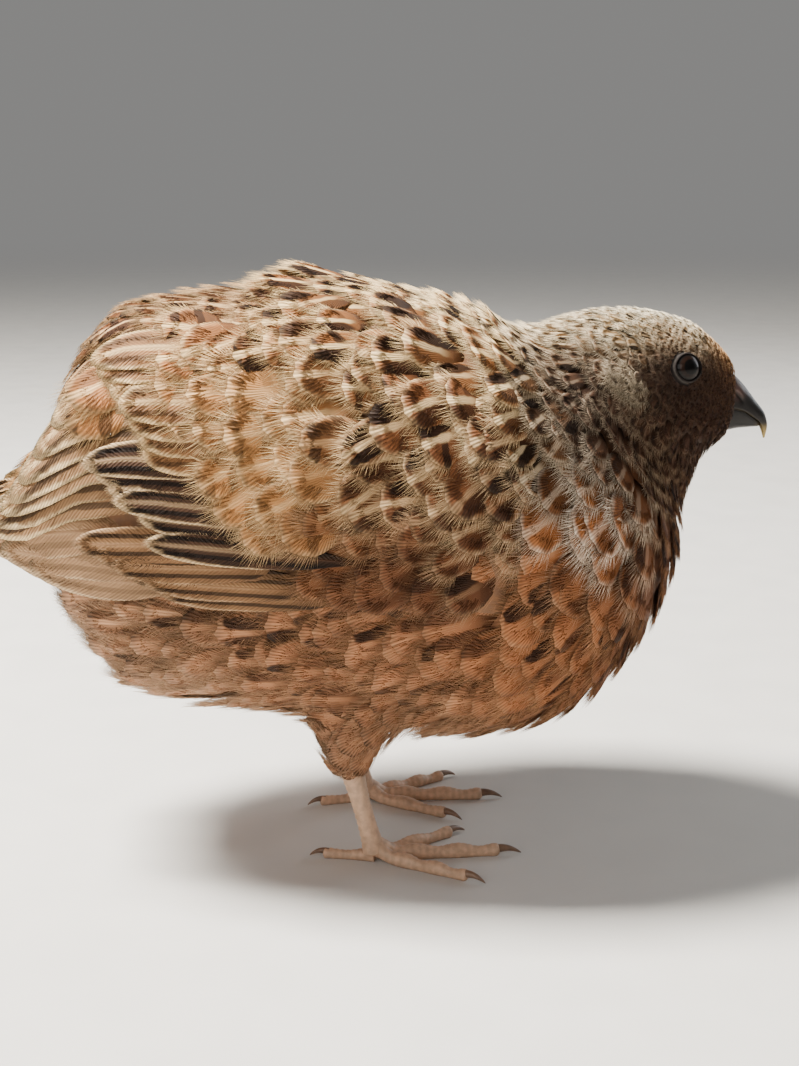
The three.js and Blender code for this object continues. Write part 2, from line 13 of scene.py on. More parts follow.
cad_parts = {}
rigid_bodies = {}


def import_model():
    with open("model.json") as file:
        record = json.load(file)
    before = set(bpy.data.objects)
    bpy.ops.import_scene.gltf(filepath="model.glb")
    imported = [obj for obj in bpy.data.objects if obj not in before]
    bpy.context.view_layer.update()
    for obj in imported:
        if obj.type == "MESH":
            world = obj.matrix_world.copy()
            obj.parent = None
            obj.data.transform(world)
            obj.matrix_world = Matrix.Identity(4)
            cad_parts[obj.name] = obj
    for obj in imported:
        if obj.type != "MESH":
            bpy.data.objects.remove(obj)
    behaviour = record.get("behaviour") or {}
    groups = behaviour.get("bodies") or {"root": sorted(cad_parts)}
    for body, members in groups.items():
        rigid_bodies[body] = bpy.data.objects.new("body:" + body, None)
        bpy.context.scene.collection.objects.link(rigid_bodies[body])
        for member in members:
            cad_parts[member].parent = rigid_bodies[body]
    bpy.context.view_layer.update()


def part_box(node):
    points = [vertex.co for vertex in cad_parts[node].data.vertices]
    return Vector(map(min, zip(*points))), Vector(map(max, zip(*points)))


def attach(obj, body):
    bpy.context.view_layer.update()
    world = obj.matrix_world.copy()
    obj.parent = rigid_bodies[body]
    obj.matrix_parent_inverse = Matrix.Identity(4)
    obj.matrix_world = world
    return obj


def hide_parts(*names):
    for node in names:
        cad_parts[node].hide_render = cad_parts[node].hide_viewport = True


for left_over in list(bpy.data.objects):
    bpy.data.objects.remove(left_over)
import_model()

MM = 0.001
SEED = 20
# Sections are a little squarer than ellipses, whose power would be 2.
POWER = 2.25

# Cross-sections of the body's forms: x, mid height, half height, half width.
TORSO = np.array([
    (-70, 79, 0, 0), (-63, 78.5, 28.5, 21), (-52, 77, 41, 30), (-32, 76.5, 44.5, 36.5),
    (-8, 75.2, 46.7, 39.5), (14, 72.5, 46.5, 40), (34, 69, 42, 37), (50, 68, 29.5, 28.5),
    (59, 68.5, 16, 17.5), (64, 69, 0, 0)], float)
NECK = np.array([
    (20, 84, 0, 0), (25, 86, 19, 20), (36, 88.5, 25, 23.5), (48, 90, 25, 20),
    (57, 90.5, 21, 15.5), (64, 89.5, 14, 10), (67.5, 88.5, 0, 0)], float)
HEAD = np.array([
    (35, 101.5, 0, 0), (39, 101.5, 10.5, 9.5), (47, 100.5, 14.6, 12.4), (56, 99.6, 15.7, 12.8),
    (64, 98.4, 15, 11.2), (70, 97.7, 11.5, 8), (74, 97.2, 7.6, 5), (76.2, 96.6, 0, 0)], float)
WING_HULL = np.array([
    (-98, 75, 0, 0), (-87, 75, 6.5, 14), (-77, 73.5, 11.5, 21.5), (-69, 75.5, 22, 27),
    (-61, 77.5, 33.5, 31), (-50, 77.5, 41.8, 34.5), (-32, 76.8, 45.3, 38.2), (-8, 75.2, 47.4, 40.8),
    (14, 72.5, 47.2, 41.2), (34, 69, 42.7, 38), (50, 68, 31, 30), (65, 68, 0, 0)], float)
TAIL_FORM = np.array([
    (-92, 70, 0, 0), (-84, 70.5, 6, 9.5), (-75, 71.5, 10.5, 14), (-66, 73.5, 17.5, 18),
    (-54, 77, 25, 21), (-44, 78, 0, 0)], float)
# The feathered lower thigh: height, x, radius.
THIGH = np.array([(18, -8.2, 3.1), (24, -7.5, 6.2), (31, -6, 9.4), (38, -4, 11)], float)
THIGH_OUT = 16.0

# An eye: place, the ball's radius, the dome over its pupil, how far its front lies from its centre
# and stands proud of the head, and the width that the feathers leave bare round it.
EYE = {"x": 61.7, "z": 104.2, "radius": 3.55, "dome": .16, "front": 3.7, "proud": 1.2, "bare": 3.5}
SIDES = {"right": -1, "left": 1}
AHEAD = (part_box("eye_right")[0].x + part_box("eye_right")[1].x) / 2 / MM - EYE["x"]


def tone(*rgb):
    """Screen colour 0..255 to linear light: ((c + 0.055) / 1.055) ** 2.4, or c / 12.92 when dark."""
    c = np.asarray(rgb, float) / 255
    return np.where(c <= 0.04045, c / 12.92, ((c + 0.055) / 1.055) ** 2.4)


def unit(v):
    """Each vector divided by its length."""
    return v / np.maximum(np.linalg.norm(v, axis=-1, keepdims=True), 1e-9)


def glide(at, values, x):
    """Cubic through values at rising places, without overshoot.

    The slope at a station is the harmonic mean of the chords beside it, or 0 where they turn.
    """
    chord = np.diff(values, axis=0) / np.diff(at)[:, None]
    before, after = chord[:-1], chord[1:]
    both = before + after
    bend = np.where(before * after > 0, 2 * before * after / np.where(both == 0, 1, both), 0)
    slope = np.concatenate([chord[:1], bend, chord[-1:]])
    i = np.clip(np.searchsorted(at, x, side="right") - 1, 0, len(at) - 2)
    span = (at[i + 1] - at[i])[..., None]
    t = np.clip((x - at[i])[..., None] / span, 0, 1)
    return (values[i] * (1 + 2 * t) * (1 - t) ** 2 + slope[i] * span * t * (1 - t) ** 2
            + values[i + 1] * t * t * (3 - 2 * t) + slope[i + 1] * span * t * t * (t - 1))


def section(form, x):
    """Mid height, half height and half width of a form at x. The squares of the sizes glide."""
    values = np.stack([form[:, 1], form[:, 2] ** 2, form[:, 3] ** 2], -1)
    mid, high, half = np.moveaxis(glide(form[:, 0], values, np.asarray(x, float)), -1, 0)
    return mid, np.sqrt(np.maximum(high, 0)), np.sqrt(np.maximum(half, 0))


def form_point(form, x, degrees, side):
    """Point of a form: angle 0 is the side at mid height, 90 the top, sizes bent by the power."""
    mid, high, half = section(form, x)
    angle = np.radians(degrees)
    bent = lambda v: np.sign(v) * np.abs(v) ** (2 / POWER)
    return np.stack([np.asarray(x, float) + 0 * angle, side * half * bent(np.cos(angle)),
                     mid + high * bent(np.sin(angle))], -1)


def form_height(form, x, y, z):
    """Rises from inside a form to outside and is 0 on it.

    It is (|y/w|^p + |dz/h|^p)^(2/p) less half height times half width, with w and h of product 1,
    so it stays smooth at the pointed ends, beyond which it rises evenly.
    """
    first, last = form[0, 0], form[-1, 0]
    mid, high, half = section(form, np.clip(x, first + 0.3, last - 0.3))
    ratio = np.sqrt(high / half)
    size = (np.abs(y * ratio) ** POWER + np.abs((z - mid) / ratio) ** POWER) ** (2 / POWER)
    past = np.maximum(first + 0.3 - x, 0) + np.maximum(x - last + 0.3, 0)
    ends = np.where(x < (first + last) / 2, first + 1.3, last - 1.3)
    _, end_high, end_half = section(form, ends)
    _, tip_high, tip_half = section(form, np.where(x < (first + last) / 2, first + 0.3, last - 0.3))
    return size - high * half + past * (end_high * end_half - tip_high * tip_half)


def thigh_height(x, y, z):
    """Distance out of the two upright thigh cones, whose centre and radius glide with height."""
    values = glide(THIGH[:, 0], THIGH[:, 1:], np.clip(z, THIGH[0, 0], THIGH[-1, 0]))
    aside = np.hypot(x - values[..., 0], np.abs(y) - THIGH_OUT) - values[..., 1]
    past = np.maximum(THIGH[0, 0] + 0.8 - z, z - 42)
    return np.where((aside > 0) & (past > 0), np.hypot(aside, past), np.maximum(aside, past))


def lay_field(heights, low, high, step, soften=1.1):
    """Grid of the distance to a union of forms, and of its direction.

    Each form's height over its own slope is its distance. They are joined by
    -s log(sum exp(-distance / s)), which rounds the creases, and evened over neighbouring cells.
    """
    axes = [np.arange(a, b, step) for a, b in zip(low, high)]
    x, y, z = np.meshgrid(*axes, indexing="ij")
    total = np.zeros_like(x)
    for height in heights:
        value = height(x, y, z)
        steep = np.sqrt(sum(d * d for d in np.gradient(value, step)))
        total += np.exp(-np.clip(value / np.maximum(steep, 1e-6), -14, 14) / soften)
    value = -soften * np.log(total)
    for axis in (0, 1, 2):
        inner = (np.roll(value, 1, axis) + 2 * value + np.roll(value, -1, axis)) / 4
        keep = np.zeros(value.shape, bool)
        keep[tuple(slice(1, -1) if a == axis else slice(None) for a in range(3))] = True
        value = np.where(keep, inner, value)
    grid = np.stack([value, *np.gradient(value, step)], -1)
    return {"low": np.array(low, float), "step": step, "grid": grid.astype(np.float32), "axes": axes}


def measure(field, p):
    """Distance out of a field's surface at p and the direction straight out, by linear mixing."""
    grid, step = field["grid"], field["step"]
    t = (p - field["low"]) / step
    i = np.clip(t.astype(int), 0, np.array(grid.shape[:3]) - 2)
    f = np.clip(t - i, 0, 1)
    total = 0
    for corner in range(8):
        d = np.array([corner & 1, corner >> 1 & 1, corner >> 2 & 1])
        weight = np.prod(np.where(d == 1, f, 1 - f), axis=-1)
        j = i + d
        total = total + weight[..., None] * grid[j[..., 0], j[..., 1], j[..., 2]]
    return total[..., 0], unit(total[..., 1:])


def settle(field, p, height, rounds=2):
    """Moves points straight out or in until they lie at the wanted height over the field's surface."""
    for _ in range(rounds):
        value, out = measure(field, p)
        p = p + out * (height - value)[..., None]
    return p


BODY_FORMS = [partial(form_height, form) for form in (TORSO, NECK, HEAD)] + [thigh_height]
BODY = lay_field(BODY_FORMS, (-78, -50, 8), (84, 50.1, 128), 1.5)
HULL = lay_field([partial(form_height, WING_HULL)], (-106, -52, 20), (74, 52.1, 132), 2.0)
RUMP = lay_field([partial(form_height, TAIL_FORM)], (-100, -32, 44), (-36, 32.1, 112), 1.5)

# How the coat lies: place (x, out, z), reach, then the direction (x, out, z).
LIE = np.array([
    (74, 0, 105, 4, -.75, 0, .66), (60, 0, 115, 7, -1, 0, .05), (47, 0, 115, 7, -1, 0, -.05),
    (70, 8, 99, 4, -.95, .3, 0), (63, 10, 111, 4, -1, .1, .12), (56, 12, 106, 5, -1, .1, -.15),
    (64, 11, 97, 5, -.85, .1, -.45), (52, 12, 99, 5, -.8, .35, -.6), (73, 2, 90, 4, -.85, .1, -.4),
    (67, 6, 84, 5, -.55, .2, -.8), (38, 0, 114, 8, -1, 0, -.08), (40, 20, 100, 8, -.8, .1, -.6),
    (56, 14, 88, 6, -.6, .2, -.8), (66, 3, 72, 8, -.2, .1, -1), (60, 16, 72, 9, -.45, .3, -.85),
    (56, 10, 45, 9, -.8, .1, -.6), (45, 28, 80, 9, -.75, .2, -.65), (35, 34, 60, 10, -.9, .05, -.42),
    (20, 2, 119, 12, -1, 0, 0), (12, 28, 108, 12, -.92, .2, -.4), (-25, 2, 121, 16, -1, 0, -.05),
    (-55, 4, 112, 10, -.85, 0, -.5), (10, 38, 58, 12, -1, 0, -.16), (-20, 38, 60, 14, -1, 0, -.05),
    (-50, 26, 62, 12, -1, -.1, .02), (5, 6, 28, 16, -1, 0, 0), (-35, 10, 36, 12, -1, 0, .05),
    (-60, 6, 58, 9, -.9, .05, -.42), (-52, 14, 50, 8, -.9, .05, -.36), (-6, 22, 26, 5, -.4, .1, -1)], float)
# Coat sizes: place, reach, then length, width, distance between roots, depth, fringe.
SIZES = np.array([
    (74, 0, 105, 3, 2.0, 1.3, .8, .45, .7), (60, 0, 115, 7, 3.4, 2.0, 1.05, .9, 1.3),
    (47, 0, 115, 7, 4.6, 2.9, 1.4, 1.4, 1.7), (71, 8, 98, 3, 1.8, 1.2, .75, .4, .6),
    (62, 11, 110, 3, 2.3, 1.5, .8, .5, .8), (61.7, 13, 104, 4, 1.7, 1.1, .7, .35, .6),
    (64, 11, 97, 4, 2.4, 1.5, .9, .7, .9), (52, 12.6, 98.5, 3.5, 5.2, 2.6, 1.15, .9, 2.4),
    (74, 2, 90, 3, 1.9, 1.3, .8, .45, .7), (67, 6, 84, 4, 4.0, 2.8, 1.5, 1.2, 1.4),
    (69, 2, 82, 3.5, 3.8, 3.2, 1.6, .9, 1.3), (38, 0, 114, 8, 7.5, 5.4, 2.5, 2.2, 2.2),
    (40, 20, 100, 8, 7.8, 6.2, 2.8, 2.6, 2.4), (56, 14, 88, 6, 6.6, 5.2, 2.4, 2.2, 2.1),
    (66, 3, 72, 7, 7.4, 7.0, 3.6, 1.7, 2.2),
    (45, 28, 80, 8, 13, 12.5, 5.2, 3.8, 4.0), (56, 10, 45, 9, 12.5, 10, 4.7, 3.8, 3.2),
    (35, 34, 60, 10, 14, 12, 5.2, 4.0, 3.8), (18, 2, 119, 12, 12, 9.5, 4.5, 3.4, 2.6),
    (12, 28, 108, 12, 12.5, 10.5, 4.7, 3.4, 2.8), (-25, 2, 121, 16, 14, 9.0, 4.6, 3.4, 2.6),
    (-55, 4, 110, 10, 15, 8.6, 4.5, 4.0, 3.0), (0, 38, 56, 14, 16, 10.5, 5.0, 4.2, 3.8),
    (-40, 30, 58, 12, 18, 9.5, 4.8, 4.4, 4.6), (5, 6, 28, 16, 15, 10.5, 5.0, 4.2, 4.0),
    (-35, 10, 36, 12, 15, 9.0, 4.4, 4.6, 4.8), (-60, 6, 58, 9, 12, 5.5, 2.9, 4.6, 5.4),
    (-6, 22, 26, 5, 6.5, 4.4, 2.1, 2.2, 2.4)], float)
# Coat colours: place, reach, base (3), fringe (3), shaft streak, blotches, bars.
COLOURS = np.array([
    # Forehead, crown, nape and the line over the eye.
    (74, 0, 105, 3.5, 161, 101, 52, 204, 157, 107, .1, .3, 0),
    (62, 0, 115, 7, 189, 165, 121, 248, 235, 205, .1, 1.1, 0),
    (47, 0, 115, 7, 159, 129, 91, 242, 226, 195, .2, 1.2, .2),
    (62, 9, 111, 3, 122, 85, 58, 196, 173, 140, .1, .6, 0),
    # Lores, round the eye, cheek, ear, side of the throat, chin: their own dark brown, darkened further by
    # painted shade.
    (70, 7, 99, 4, 69, 44, 33, 93, 69, 53, 0, .2, 0),
    (61.7, 13, 104, 4, 53, 36, 29, 70, 53, 44, 0, .1, 0),
    (64, 11, 96, 5, 60, 39, 31, 85, 65, 51, 0, .4, 0),
    (52, 12.6, 98.5, 3.5, 82, 60, 46, 138, 112, 90, .2, .3, 0),
    (49, 12, 93, 4, 91, 59, 43, 142, 112, 88, .2, .7, 0),
    (74, 2, 90, 4, 55, 38, 31, 80, 61, 49, 0, .2, 0),
    (67, 5, 84, 5, 60, 39, 29, 91, 69, 54, 0, .5, 0),
    # Neck from behind, its side, its front.
    (38, 0, 114, 8, 128, 93, 55, 232, 213, 176, .5, .7, .2),
    (40, 20, 100, 8, 86, 59, 38, 177, 161, 140, .5, .6, .2),
    (56, 14, 88, 6, 77, 50, 32, 154, 131, 105, .1, .5, .1),
    # Breast from the throat down, with its pale-edged side. The rows at the front are their own brown
    # darkened further by painted shade.
    (66, 3, 72, 8, 96, 60, 40, 118, 81, 58, 0, .8, 0),
    (62, 14, 66, 8, 107, 68, 45, 133, 94, 67, .1, .85, 0),
    (47, 27, 82, 7, 145, 88, 48, 245, 230, 210, .3, .5, .2),
    (56, 10, 45, 9, 124, 80, 52, 146, 104, 73, .1, .75, 0),
    (38, 32, 60, 9, 152, 97, 62, 177, 129, 91, .1, .85, .1),
    # Mantle, shoulder, back, rump.
    (20, 2, 119, 12, 144, 101, 57, 236, 210, 163, 1, 1.1, .3),
    (12, 28, 108, 12, 140, 95, 54, 223, 194, 148, .9, 1, .35),
    (-25, 2, 121, 16, 120, 75, 41, 204, 166, 120, 1, .6, .7),
    (-55, 4, 110, 10, 110, 67, 37, 193, 152, 109, .9, .6, .8),
    # Flank, rear flank, belly, vent, under the tail, thigh.
    (0, 38, 56, 14, 156, 105, 73, 175, 131, 95, .2, .8, 0),
    (-40, 30, 56, 12, 166, 119, 86, 189, 150, 115, .3, .7, .2),
    (5, 6, 28, 16, 158, 111, 79, 179, 138, 106, .1, .3, 0),
    (-35, 10, 36, 12, 188, 140, 107, 216, 179, 145, .1, .25, .1),
    (-60, 6, 58, 9, 194, 150, 120, 224, 191, 159, .2, .3, .2),
    (-6, 22, 26, 5, 175, 130, 99, 196, 160, 126, 0, .1, 0),
    # The shaded neck behind the ear.
    (46, 15, 98, 4.5, 76, 54, 44, 135, 116, 96, .1, .5, .1),
    (42, 17, 100, 5, 68, 48, 41, 119, 102, 87, .1, .5, .1)], float)


def around(table, p):
    """Values at p mixed from a table's places, each weighing exp(-(distance / reach)^2 / 2)."""
    q = np.stack([p[..., 0], np.abs(p[..., 1]), p[..., 2]], -1)
    far = ((q[..., None, :] - table[:, :3]) ** 2).sum(-1) / table[:, 3] ** 2
    weight = np.exp(-far / 2) + 1e-5 / (1 + far) ** 3
    return (weight[..., None] * table[:, 4:]).sum(-2) / weight.sum(-1)[..., None]


def lie(table, p, out):
    """Direction of the coat at p: the table's direction, taken along the surface."""
    d = around(table, p)
    d[..., 1] *= np.where(p[..., 1] < 0, -1, 1)
    return unit(d - out * (d * out).sum(-1, keepdims=True))


# The middle line that the skin is unwrapped round: x, z.
SPINE = np.array([
    (-78, 78), (-50, 77), (-20, 76), (10, 75), (30, 78), (44, 86), (54, 93), (64, 97), (80, 97)], float)


def unwrap(p):
    """Place on an unwrap of the skin: the angle round the curved spine and the length along it."""
    t = np.linspace(0, 1, 240)
    line = glide(np.linspace(0, 1, len(SPINE)), SPINE, t)
    run = unit(np.gradient(line, axis=0))
    flat = p[:, [0, 2]]
    parts = np.array_split(flat, len(flat) // 4000 + 1)
    nearest = np.concatenate([((part[:, None] - line) ** 2).sum(-1).argmin(1) for part in parts])
    up = ((flat - line[nearest]) * np.stack([-run[nearest, 1], run[nearest, 0]], -1)).sum(-1)
    angle = np.arctan2(p[:, 1], up)
    return np.stack([0.5 + 0.48 * angle / np.pi, 0.02 + 0.96 * t[nearest]], -1)


# Meshes

def piece(name, points, faces, material, slot, uv=None, values=None, smooth=True):
    """A mesh object from millimetre points and arrays of three- or four-sided faces.

    Its maps and colours have a row for each point. It rides on the root body.
    """
    mesh = bpy.data.meshes.new(name)
    co = np.asarray(points, np.float32).reshape(-1, 3) * MM + np.array([AHEAD * MM, 0, 0], np.float32)
    faces = [np.asarray(f, np.int32) for f in faces if len(f)]
    corners = np.concatenate([f.ravel() for f in faces])
    sides = np.concatenate([np.full(len(f), f.shape[1]) for f in faces])
    starts = np.cumsum(sides) - sides
    mesh.vertices.add(len(co))
    mesh.vertices.foreach_set("co", co.ravel())
    mesh.loops.add(len(corners))
    mesh.loops.foreach_set("vertex_index", corners)
    mesh.polygons.add(len(starts))
    mesh.polygons.foreach_set("loop_start", starts.astype(np.int32))
    for key, places in (uv or {}).items():
        layer = mesh.uv_layers.new(name=key)
        layer.uv.foreach_set("vector", places[corners].astype(np.float32).ravel())
    for key, colours in (values or {}).items():
        layer = mesh.color_attributes.new(key, "FLOAT_COLOR", "POINT")
        layer.data.foreach_set("color", colours.astype(np.float32).ravel())
    mesh.update(calc_edges=True)
    mesh.validate()
    if smooth:
        mesh.shade_smooth()
    mesh.materials.append(material)
    thing = bpy.data.objects.new(name, mesh)
    bpy.context.scene.collection.objects.link(thing)
    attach(thing, "root")
    return thing


def band(rings, around_count):
    """Faces of a tube of rings, each around_count points long, with a fan to a hub at either end."""
    i, j = np.meshgrid(np.arange(rings - 1), np.arange(around_count), indexing="ij")
    k = (j + 1) % around_count
    here, beyond = i * around_count, (i + 1) * around_count
    quads = np.stack([here + j, here + k, beyond + k, beyond + j], -1).reshape(-1, 4)
    j = np.arange(around_count)
    k = (j + 1) % around_count
    hub = rings * around_count
    last = (rings - 1) * around_count
    fans = np.concatenate([np.stack([np.full_like(j, hub), k, j], -1),
                           np.stack([np.full_like(j, hub + 1), last + j, last + k], -1)])
    return [quads, fans]


def wrap(field):
    """A closed net of quads round a field's surface: one point in each cell that it crosses.

    A quad joins the four cells round every grid edge whose ends lie on different sides.
    """
    value = field["grid"][..., 0]
    inside = value < 0
    n = [s - 1 for s in value.shape]
    count = sum(inside[a:a + n[0], b:b + n[1], c:c + n[2]].astype(int)
                for a in (0, 1) for b in (0, 1) for c in (0, 1))
    mixed = (count > 0) & (count < 8)
    number = np.full(mixed.shape, -1)
    number[mixed] = np.arange(mixed.sum())
    centres = (np.argwhere(mixed) + 0.5) * field["step"] + field["low"]
    quads = []
    for axis in range(3):
        one, two = [a for a in range(3) if a != axis]
        ahead = np.roll(inside, -1, axis)
        edge = np.argwhere((inside != ahead)[1:-1, 1:-1, 1:-1]) + 1
        flips = inside[tuple(edge.T)]
        step_one, step_two = np.eye(3, dtype=int)[one], np.eye(3, dtype=int)[two]
        ring = np.stack([number[tuple((edge - step).T)] for step in
                         (0 * step_one, step_one, step_one + step_two, step_two)], -1)
        turn = flips == (axis != 1)
        quads.append(np.where(turn[:, None], ring, ring[:, ::-1]))
    return centres, np.concatenate(quads)


# Feathers

# The ruler map is in units of this many millimetres.
RULER_MM = 100


def vane_template(rows, columns, bow=.38, ragged=.03):
    """Local places and faces of one closed vane.

    Across runs from -1 to 1 and along from 0 at the quill to 1 at the tip. Rows bow back at the
    sides by bow along^2 (1 - sqrt(1 - across^2)), which rounds the end, and every second point of
    the last row is set back by ragged. The underside is one fold along the shaft, which shares the
    rim with the top and ends a little short of the tip.
    """
    u = np.linspace(0, 1, rows + 1) ** .9
    v = np.linspace(-1, 1, columns + 1)
    wide = np.interp(u, [0, .12, .3, .55, .8, 1], [.07, .3, .72, .95, 1, .96])
    along = u[:, None] - bow * u[:, None] ** 2 * (1 - np.sqrt(1 - (.97 * v) ** 2))
    along[-1] -= ragged * (np.arange(columns + 1) % 2)
    top = np.stack([along, v * wide[:, None], np.zeros_like(along)], -1).reshape(-1, 3)
    fold = np.stack([u * np.where(u == 1, .86, 1), 0 * u, -1 + 0 * u], -1)
    n, c = columns + 1, (rows + 1) * (columns + 1)
    i, j = [g.ravel() for g in np.meshgrid(np.arange(rows), np.arange(columns), indexing="ij")]
    quads = [np.stack([i * n + j, (i + 1) * n + j, (i + 1) * n + j + 1, i * n + j + 1], -1)]
    i = np.arange(rows)
    quads.append(np.stack([i * n, c + i, c + i + 1, (i + 1) * n], -1))
    quads.append(np.stack([c + i, i * n + columns, (i + 1) * n + columns, c + i + 1], -1))
    j = np.arange(columns)
    end = rows * n
    fans = [np.stack([end + j + 1, end + j, np.full_like(j, c + rows)], -1),
            np.stack([j, j + 1, np.full_like(j, c)], -1)]
    return np.concatenate([top, fold]), np.concatenate(quads), np.concatenate(fans)


# The barbs stand round a vane's end up to this angle, over an end rounded by this share of its length.
BARB_SPREAD, END_BOW = 1.45, .38


def barb_template(count):
    """Places and directions of the free barbs round a vane's end.

    A barb's foot sits on the rim at angle a, at along 1 - bow (1 - cos a) and across 0.95 sin a,
    and the barb points along (cos a + 0.5, sin a).
    """
    a = np.linspace(-BARB_SPREAD, BARB_SPREAD, count)
    foot = np.stack([1 - END_BOW * (1 - np.cos(a)), .95 * np.sin(a)], -1)
    return foot, unit(np.stack([np.cos(a) + .5, np.sin(a)], -1))


def paths(field, table, roots, length, random, stations=5, wander=9):
    """Midlines over a field's surface: equal steps along the lie, each turned by a small angle."""
    turn = np.radians(random.normal(0, wander, len(roots)))[:, None]
    points = [roots]
    p = roots
    for _ in range(stations - 1):
        _, out = measure(field, p)
        d = lie(table, p, out)
        d = d * np.cos(turn) + np.cross(out, d) * np.sin(turn)
        p = settle(field, p + d * (length / (stations - 1))[:, None], 0 * length, 1)
        points.append(p)
    return finish_paths(field, np.stack(points, 1))


def finish_paths(field, line):
    """Adds to midlines the direction out and the direction across at every station."""
    _, out = measure(field, line)
    run = unit(np.gradient(line, axis=1))
    return {"field": field, "line": line, "out": out, "side": unit(np.cross(out, run))}


def onto(path, along, across, height):
    """Points laid over the surface: along the midline, across it in mm, at a height in mm."""
    line, side, out = path["line"], path["side"], path["out"]
    last = line.shape[1] - 1
    t = np.clip(along, 0, 1.35) * last
    i = np.minimum(t.astype(int), last - 1)
    f = (t - i)[..., None]
    row = np.arange(len(line))[:, None]
    mix = lambda a: a[row, i] * (1 - f) + a[row, i + 1] * f
    return settle(path["field"], mix(line) + mix(side) * across[..., None], height)


def vane_height(size, a, b):
    """Height of a vane over the surface at along a and across b.

    It climbs from low to high with a^rise. The sides drop by crown b^2, one side is lifted by
    roll b, and the tip by curl a^3.
    """
    climb = np.clip(a, 0, 1) ** size["rise"]
    return (size["low"] + (size["high"] - size["low"]) * climb + size["curl"] * np.clip(a, 0, 1.1) ** 3
            + size["roll"] * b - size["crown"] * np.minimum(b * b, 1.3))


def feather_maps(path, look, size, a, b):
    """The maps and colours of each feather's points at along a and across b.

    The maps are (across, along) from 0 to 1, the same as lengths in units of 100 mm, and a small
    patch at the root's place on the skin's unwrap. The colours are the same all over a feather.
    """
    own = np.stack([b * .5 + .5, a], -1)
    ruler = np.stack([b * size["width"] / 2, a * size["length"]], -1) / RULER_MM
    spot = unwrap(path["line"][:, 0])[:, None] + np.stack([b, a - .5], -1) * [.0008, .0028]
    maps = {"vane": own, "ruler": ruler, "OFBake": spot}
    values = {key: np.repeat(look[key][:, None], a.shape[1], 1).reshape(-1, 4) for key in COLOUR_KEYS}
    return {key: places.reshape(-1, 2) for key, places in maps.items()}, values


# A look's colours, and its sizes: see vane_height for those between fringe and thick.
COLOUR_KEYS = ("coat_base", "coat_edge", "coat_marks")
SIZE_KEYS = ("length", "width", "fringe", "low", "high", "rise", "roll", "crown", "curl", "thick")
# A free barb's hold on the vane: its share of the feather's length, that length's limit in widths,
# and its chance. Then the chance in how far the barb runs past the rim and in its direction, and
# how much its tip rises for each millimetre past the rim.
BARB_HOLD, BARB_HOLD_LIMIT, BARB_HOLD_VARY = .22, 1.3, .15
BARB_VARY, BARB_TURN, BARB_RISE = .2, .13, .07


def barb_points(size, count, thick, random):
    """Along, across and lift of the four corners of every free barb: three at its foot, one at its tip.

    A barb is a sliver as wide as thick. It runs from inside the vane past the rim, at angle a by
    0.7 + 0.3 cos a of the feather's fringe.
    """
    foot, run = barb_template(count)
    jitter = random.normal(0, 1, (3, len(size["length"]), count))
    fullness = .7 + .3 * np.cos(np.linspace(-BARB_SPREAD, BARB_SPREAD, count))
    reach = size["fringe"] * (1 + BARB_VARY * jitter[0]) * fullness
    run = unit(run + BARB_TURN * jitter[1][..., None] * run[:, ::-1] * [-1, 1])
    hold = BARB_HOLD * np.minimum(size["length"], BARB_HOLD_LIMIT * size["width"])
    hold = hold * (1 + BARB_HOLD_VARY * jitter[0])
    base = foot * np.stack([size["length"], size["width"] / 2], -1) - run * hold[..., None]
    beside = np.stack([-run[..., 1], run[..., 0]], -1) * thick / 2
    corners = np.stack([base - beside, base + beside, base, base + run * (reach + hold)[..., None]], 2)
    a = corners[..., 0] / size["length"][..., None]
    b = corners[..., 1] / (size["width"][..., None] / 2)
    past_rim = (reach * (1 + jitter[2]))[..., None]
    lift = np.array([0, 0, .7 * thick, 0]) + np.array([0, 0, 0, BARB_RISE]) * past_rim
    return [part.reshape(len(part), -1) for part in (a, b, lift)]


def plumage(name, path, look, material, slot, template, barbs, barb_width, random):
    """Joined feathers: a closed vane each, and beyond its rim free barbs in a piece of their own."""
    n = len(path["line"])
    size = {key: np.broadcast_to(look[key], (n,))[:, None] for key in SIZE_KEYS}
    places, quads, fans = template
    a = np.broadcast_to(places[:, 0], (n, len(places)))
    b = np.broadcast_to(places[:, 1], (n, len(places)))
    height = vane_height(size, a, b) + places[:, 2] * size["thick"]
    start = (np.arange(n) * len(places))[:, None, None]
    vanes = piece(name, onto(path, a, b * size["width"] / 2, height),
                  [(start + quads).reshape(-1, 4), (start + fans).reshape(-1, 3)],
                  material, slot, *feather_maps(path, look, size, a, b))
    a, b, lift = barb_points(size, barbs, barb_width, random)
    first = np.arange(n * barbs)[:, None, None] * 4
    faces = (first + np.array([(0, 1, 3), (1, 2, 3), (2, 0, 3), (0, 2, 1)])).reshape(-1, 3)
    piece(name + "_barbs", onto(path, a, b * size["width"] / 2, vane_height(size, a, b) + lift), [faces],
          material, slot, *feather_maps(path, look, size, a, b), smooth=False)
    return vanes


def colours(table_values, random, vary=.1, marks_vary=.35, stripe=0.0, fan=1.0):
    """Linear base and fringe colours with a share of chance, and the strength of each marking.

    The fringe colour's fourth value tells a fan of spreading barbs (1) from a long feather (0).
    """
    n = len(table_values)
    shade = 1 + vary * random.normal(0, 1, (n, 1))
    ones = np.ones((n, 1))
    base = tone(*table_values[:, :3].T).T * shade
    edge = tone(*table_values[:, 3:6].T).T * shade
    marks = table_values[:, 6:9] * np.clip(1 + marks_vary * random.normal(0, 1, (n, 3)), .2, 1.6)
    return {"coat_base": np.hstack([base, random.random((n, 1))]),
            "coat_edge": np.hstack([edge, ones * fan]),
            "coat_marks": np.hstack([marks, ones * stripe])}


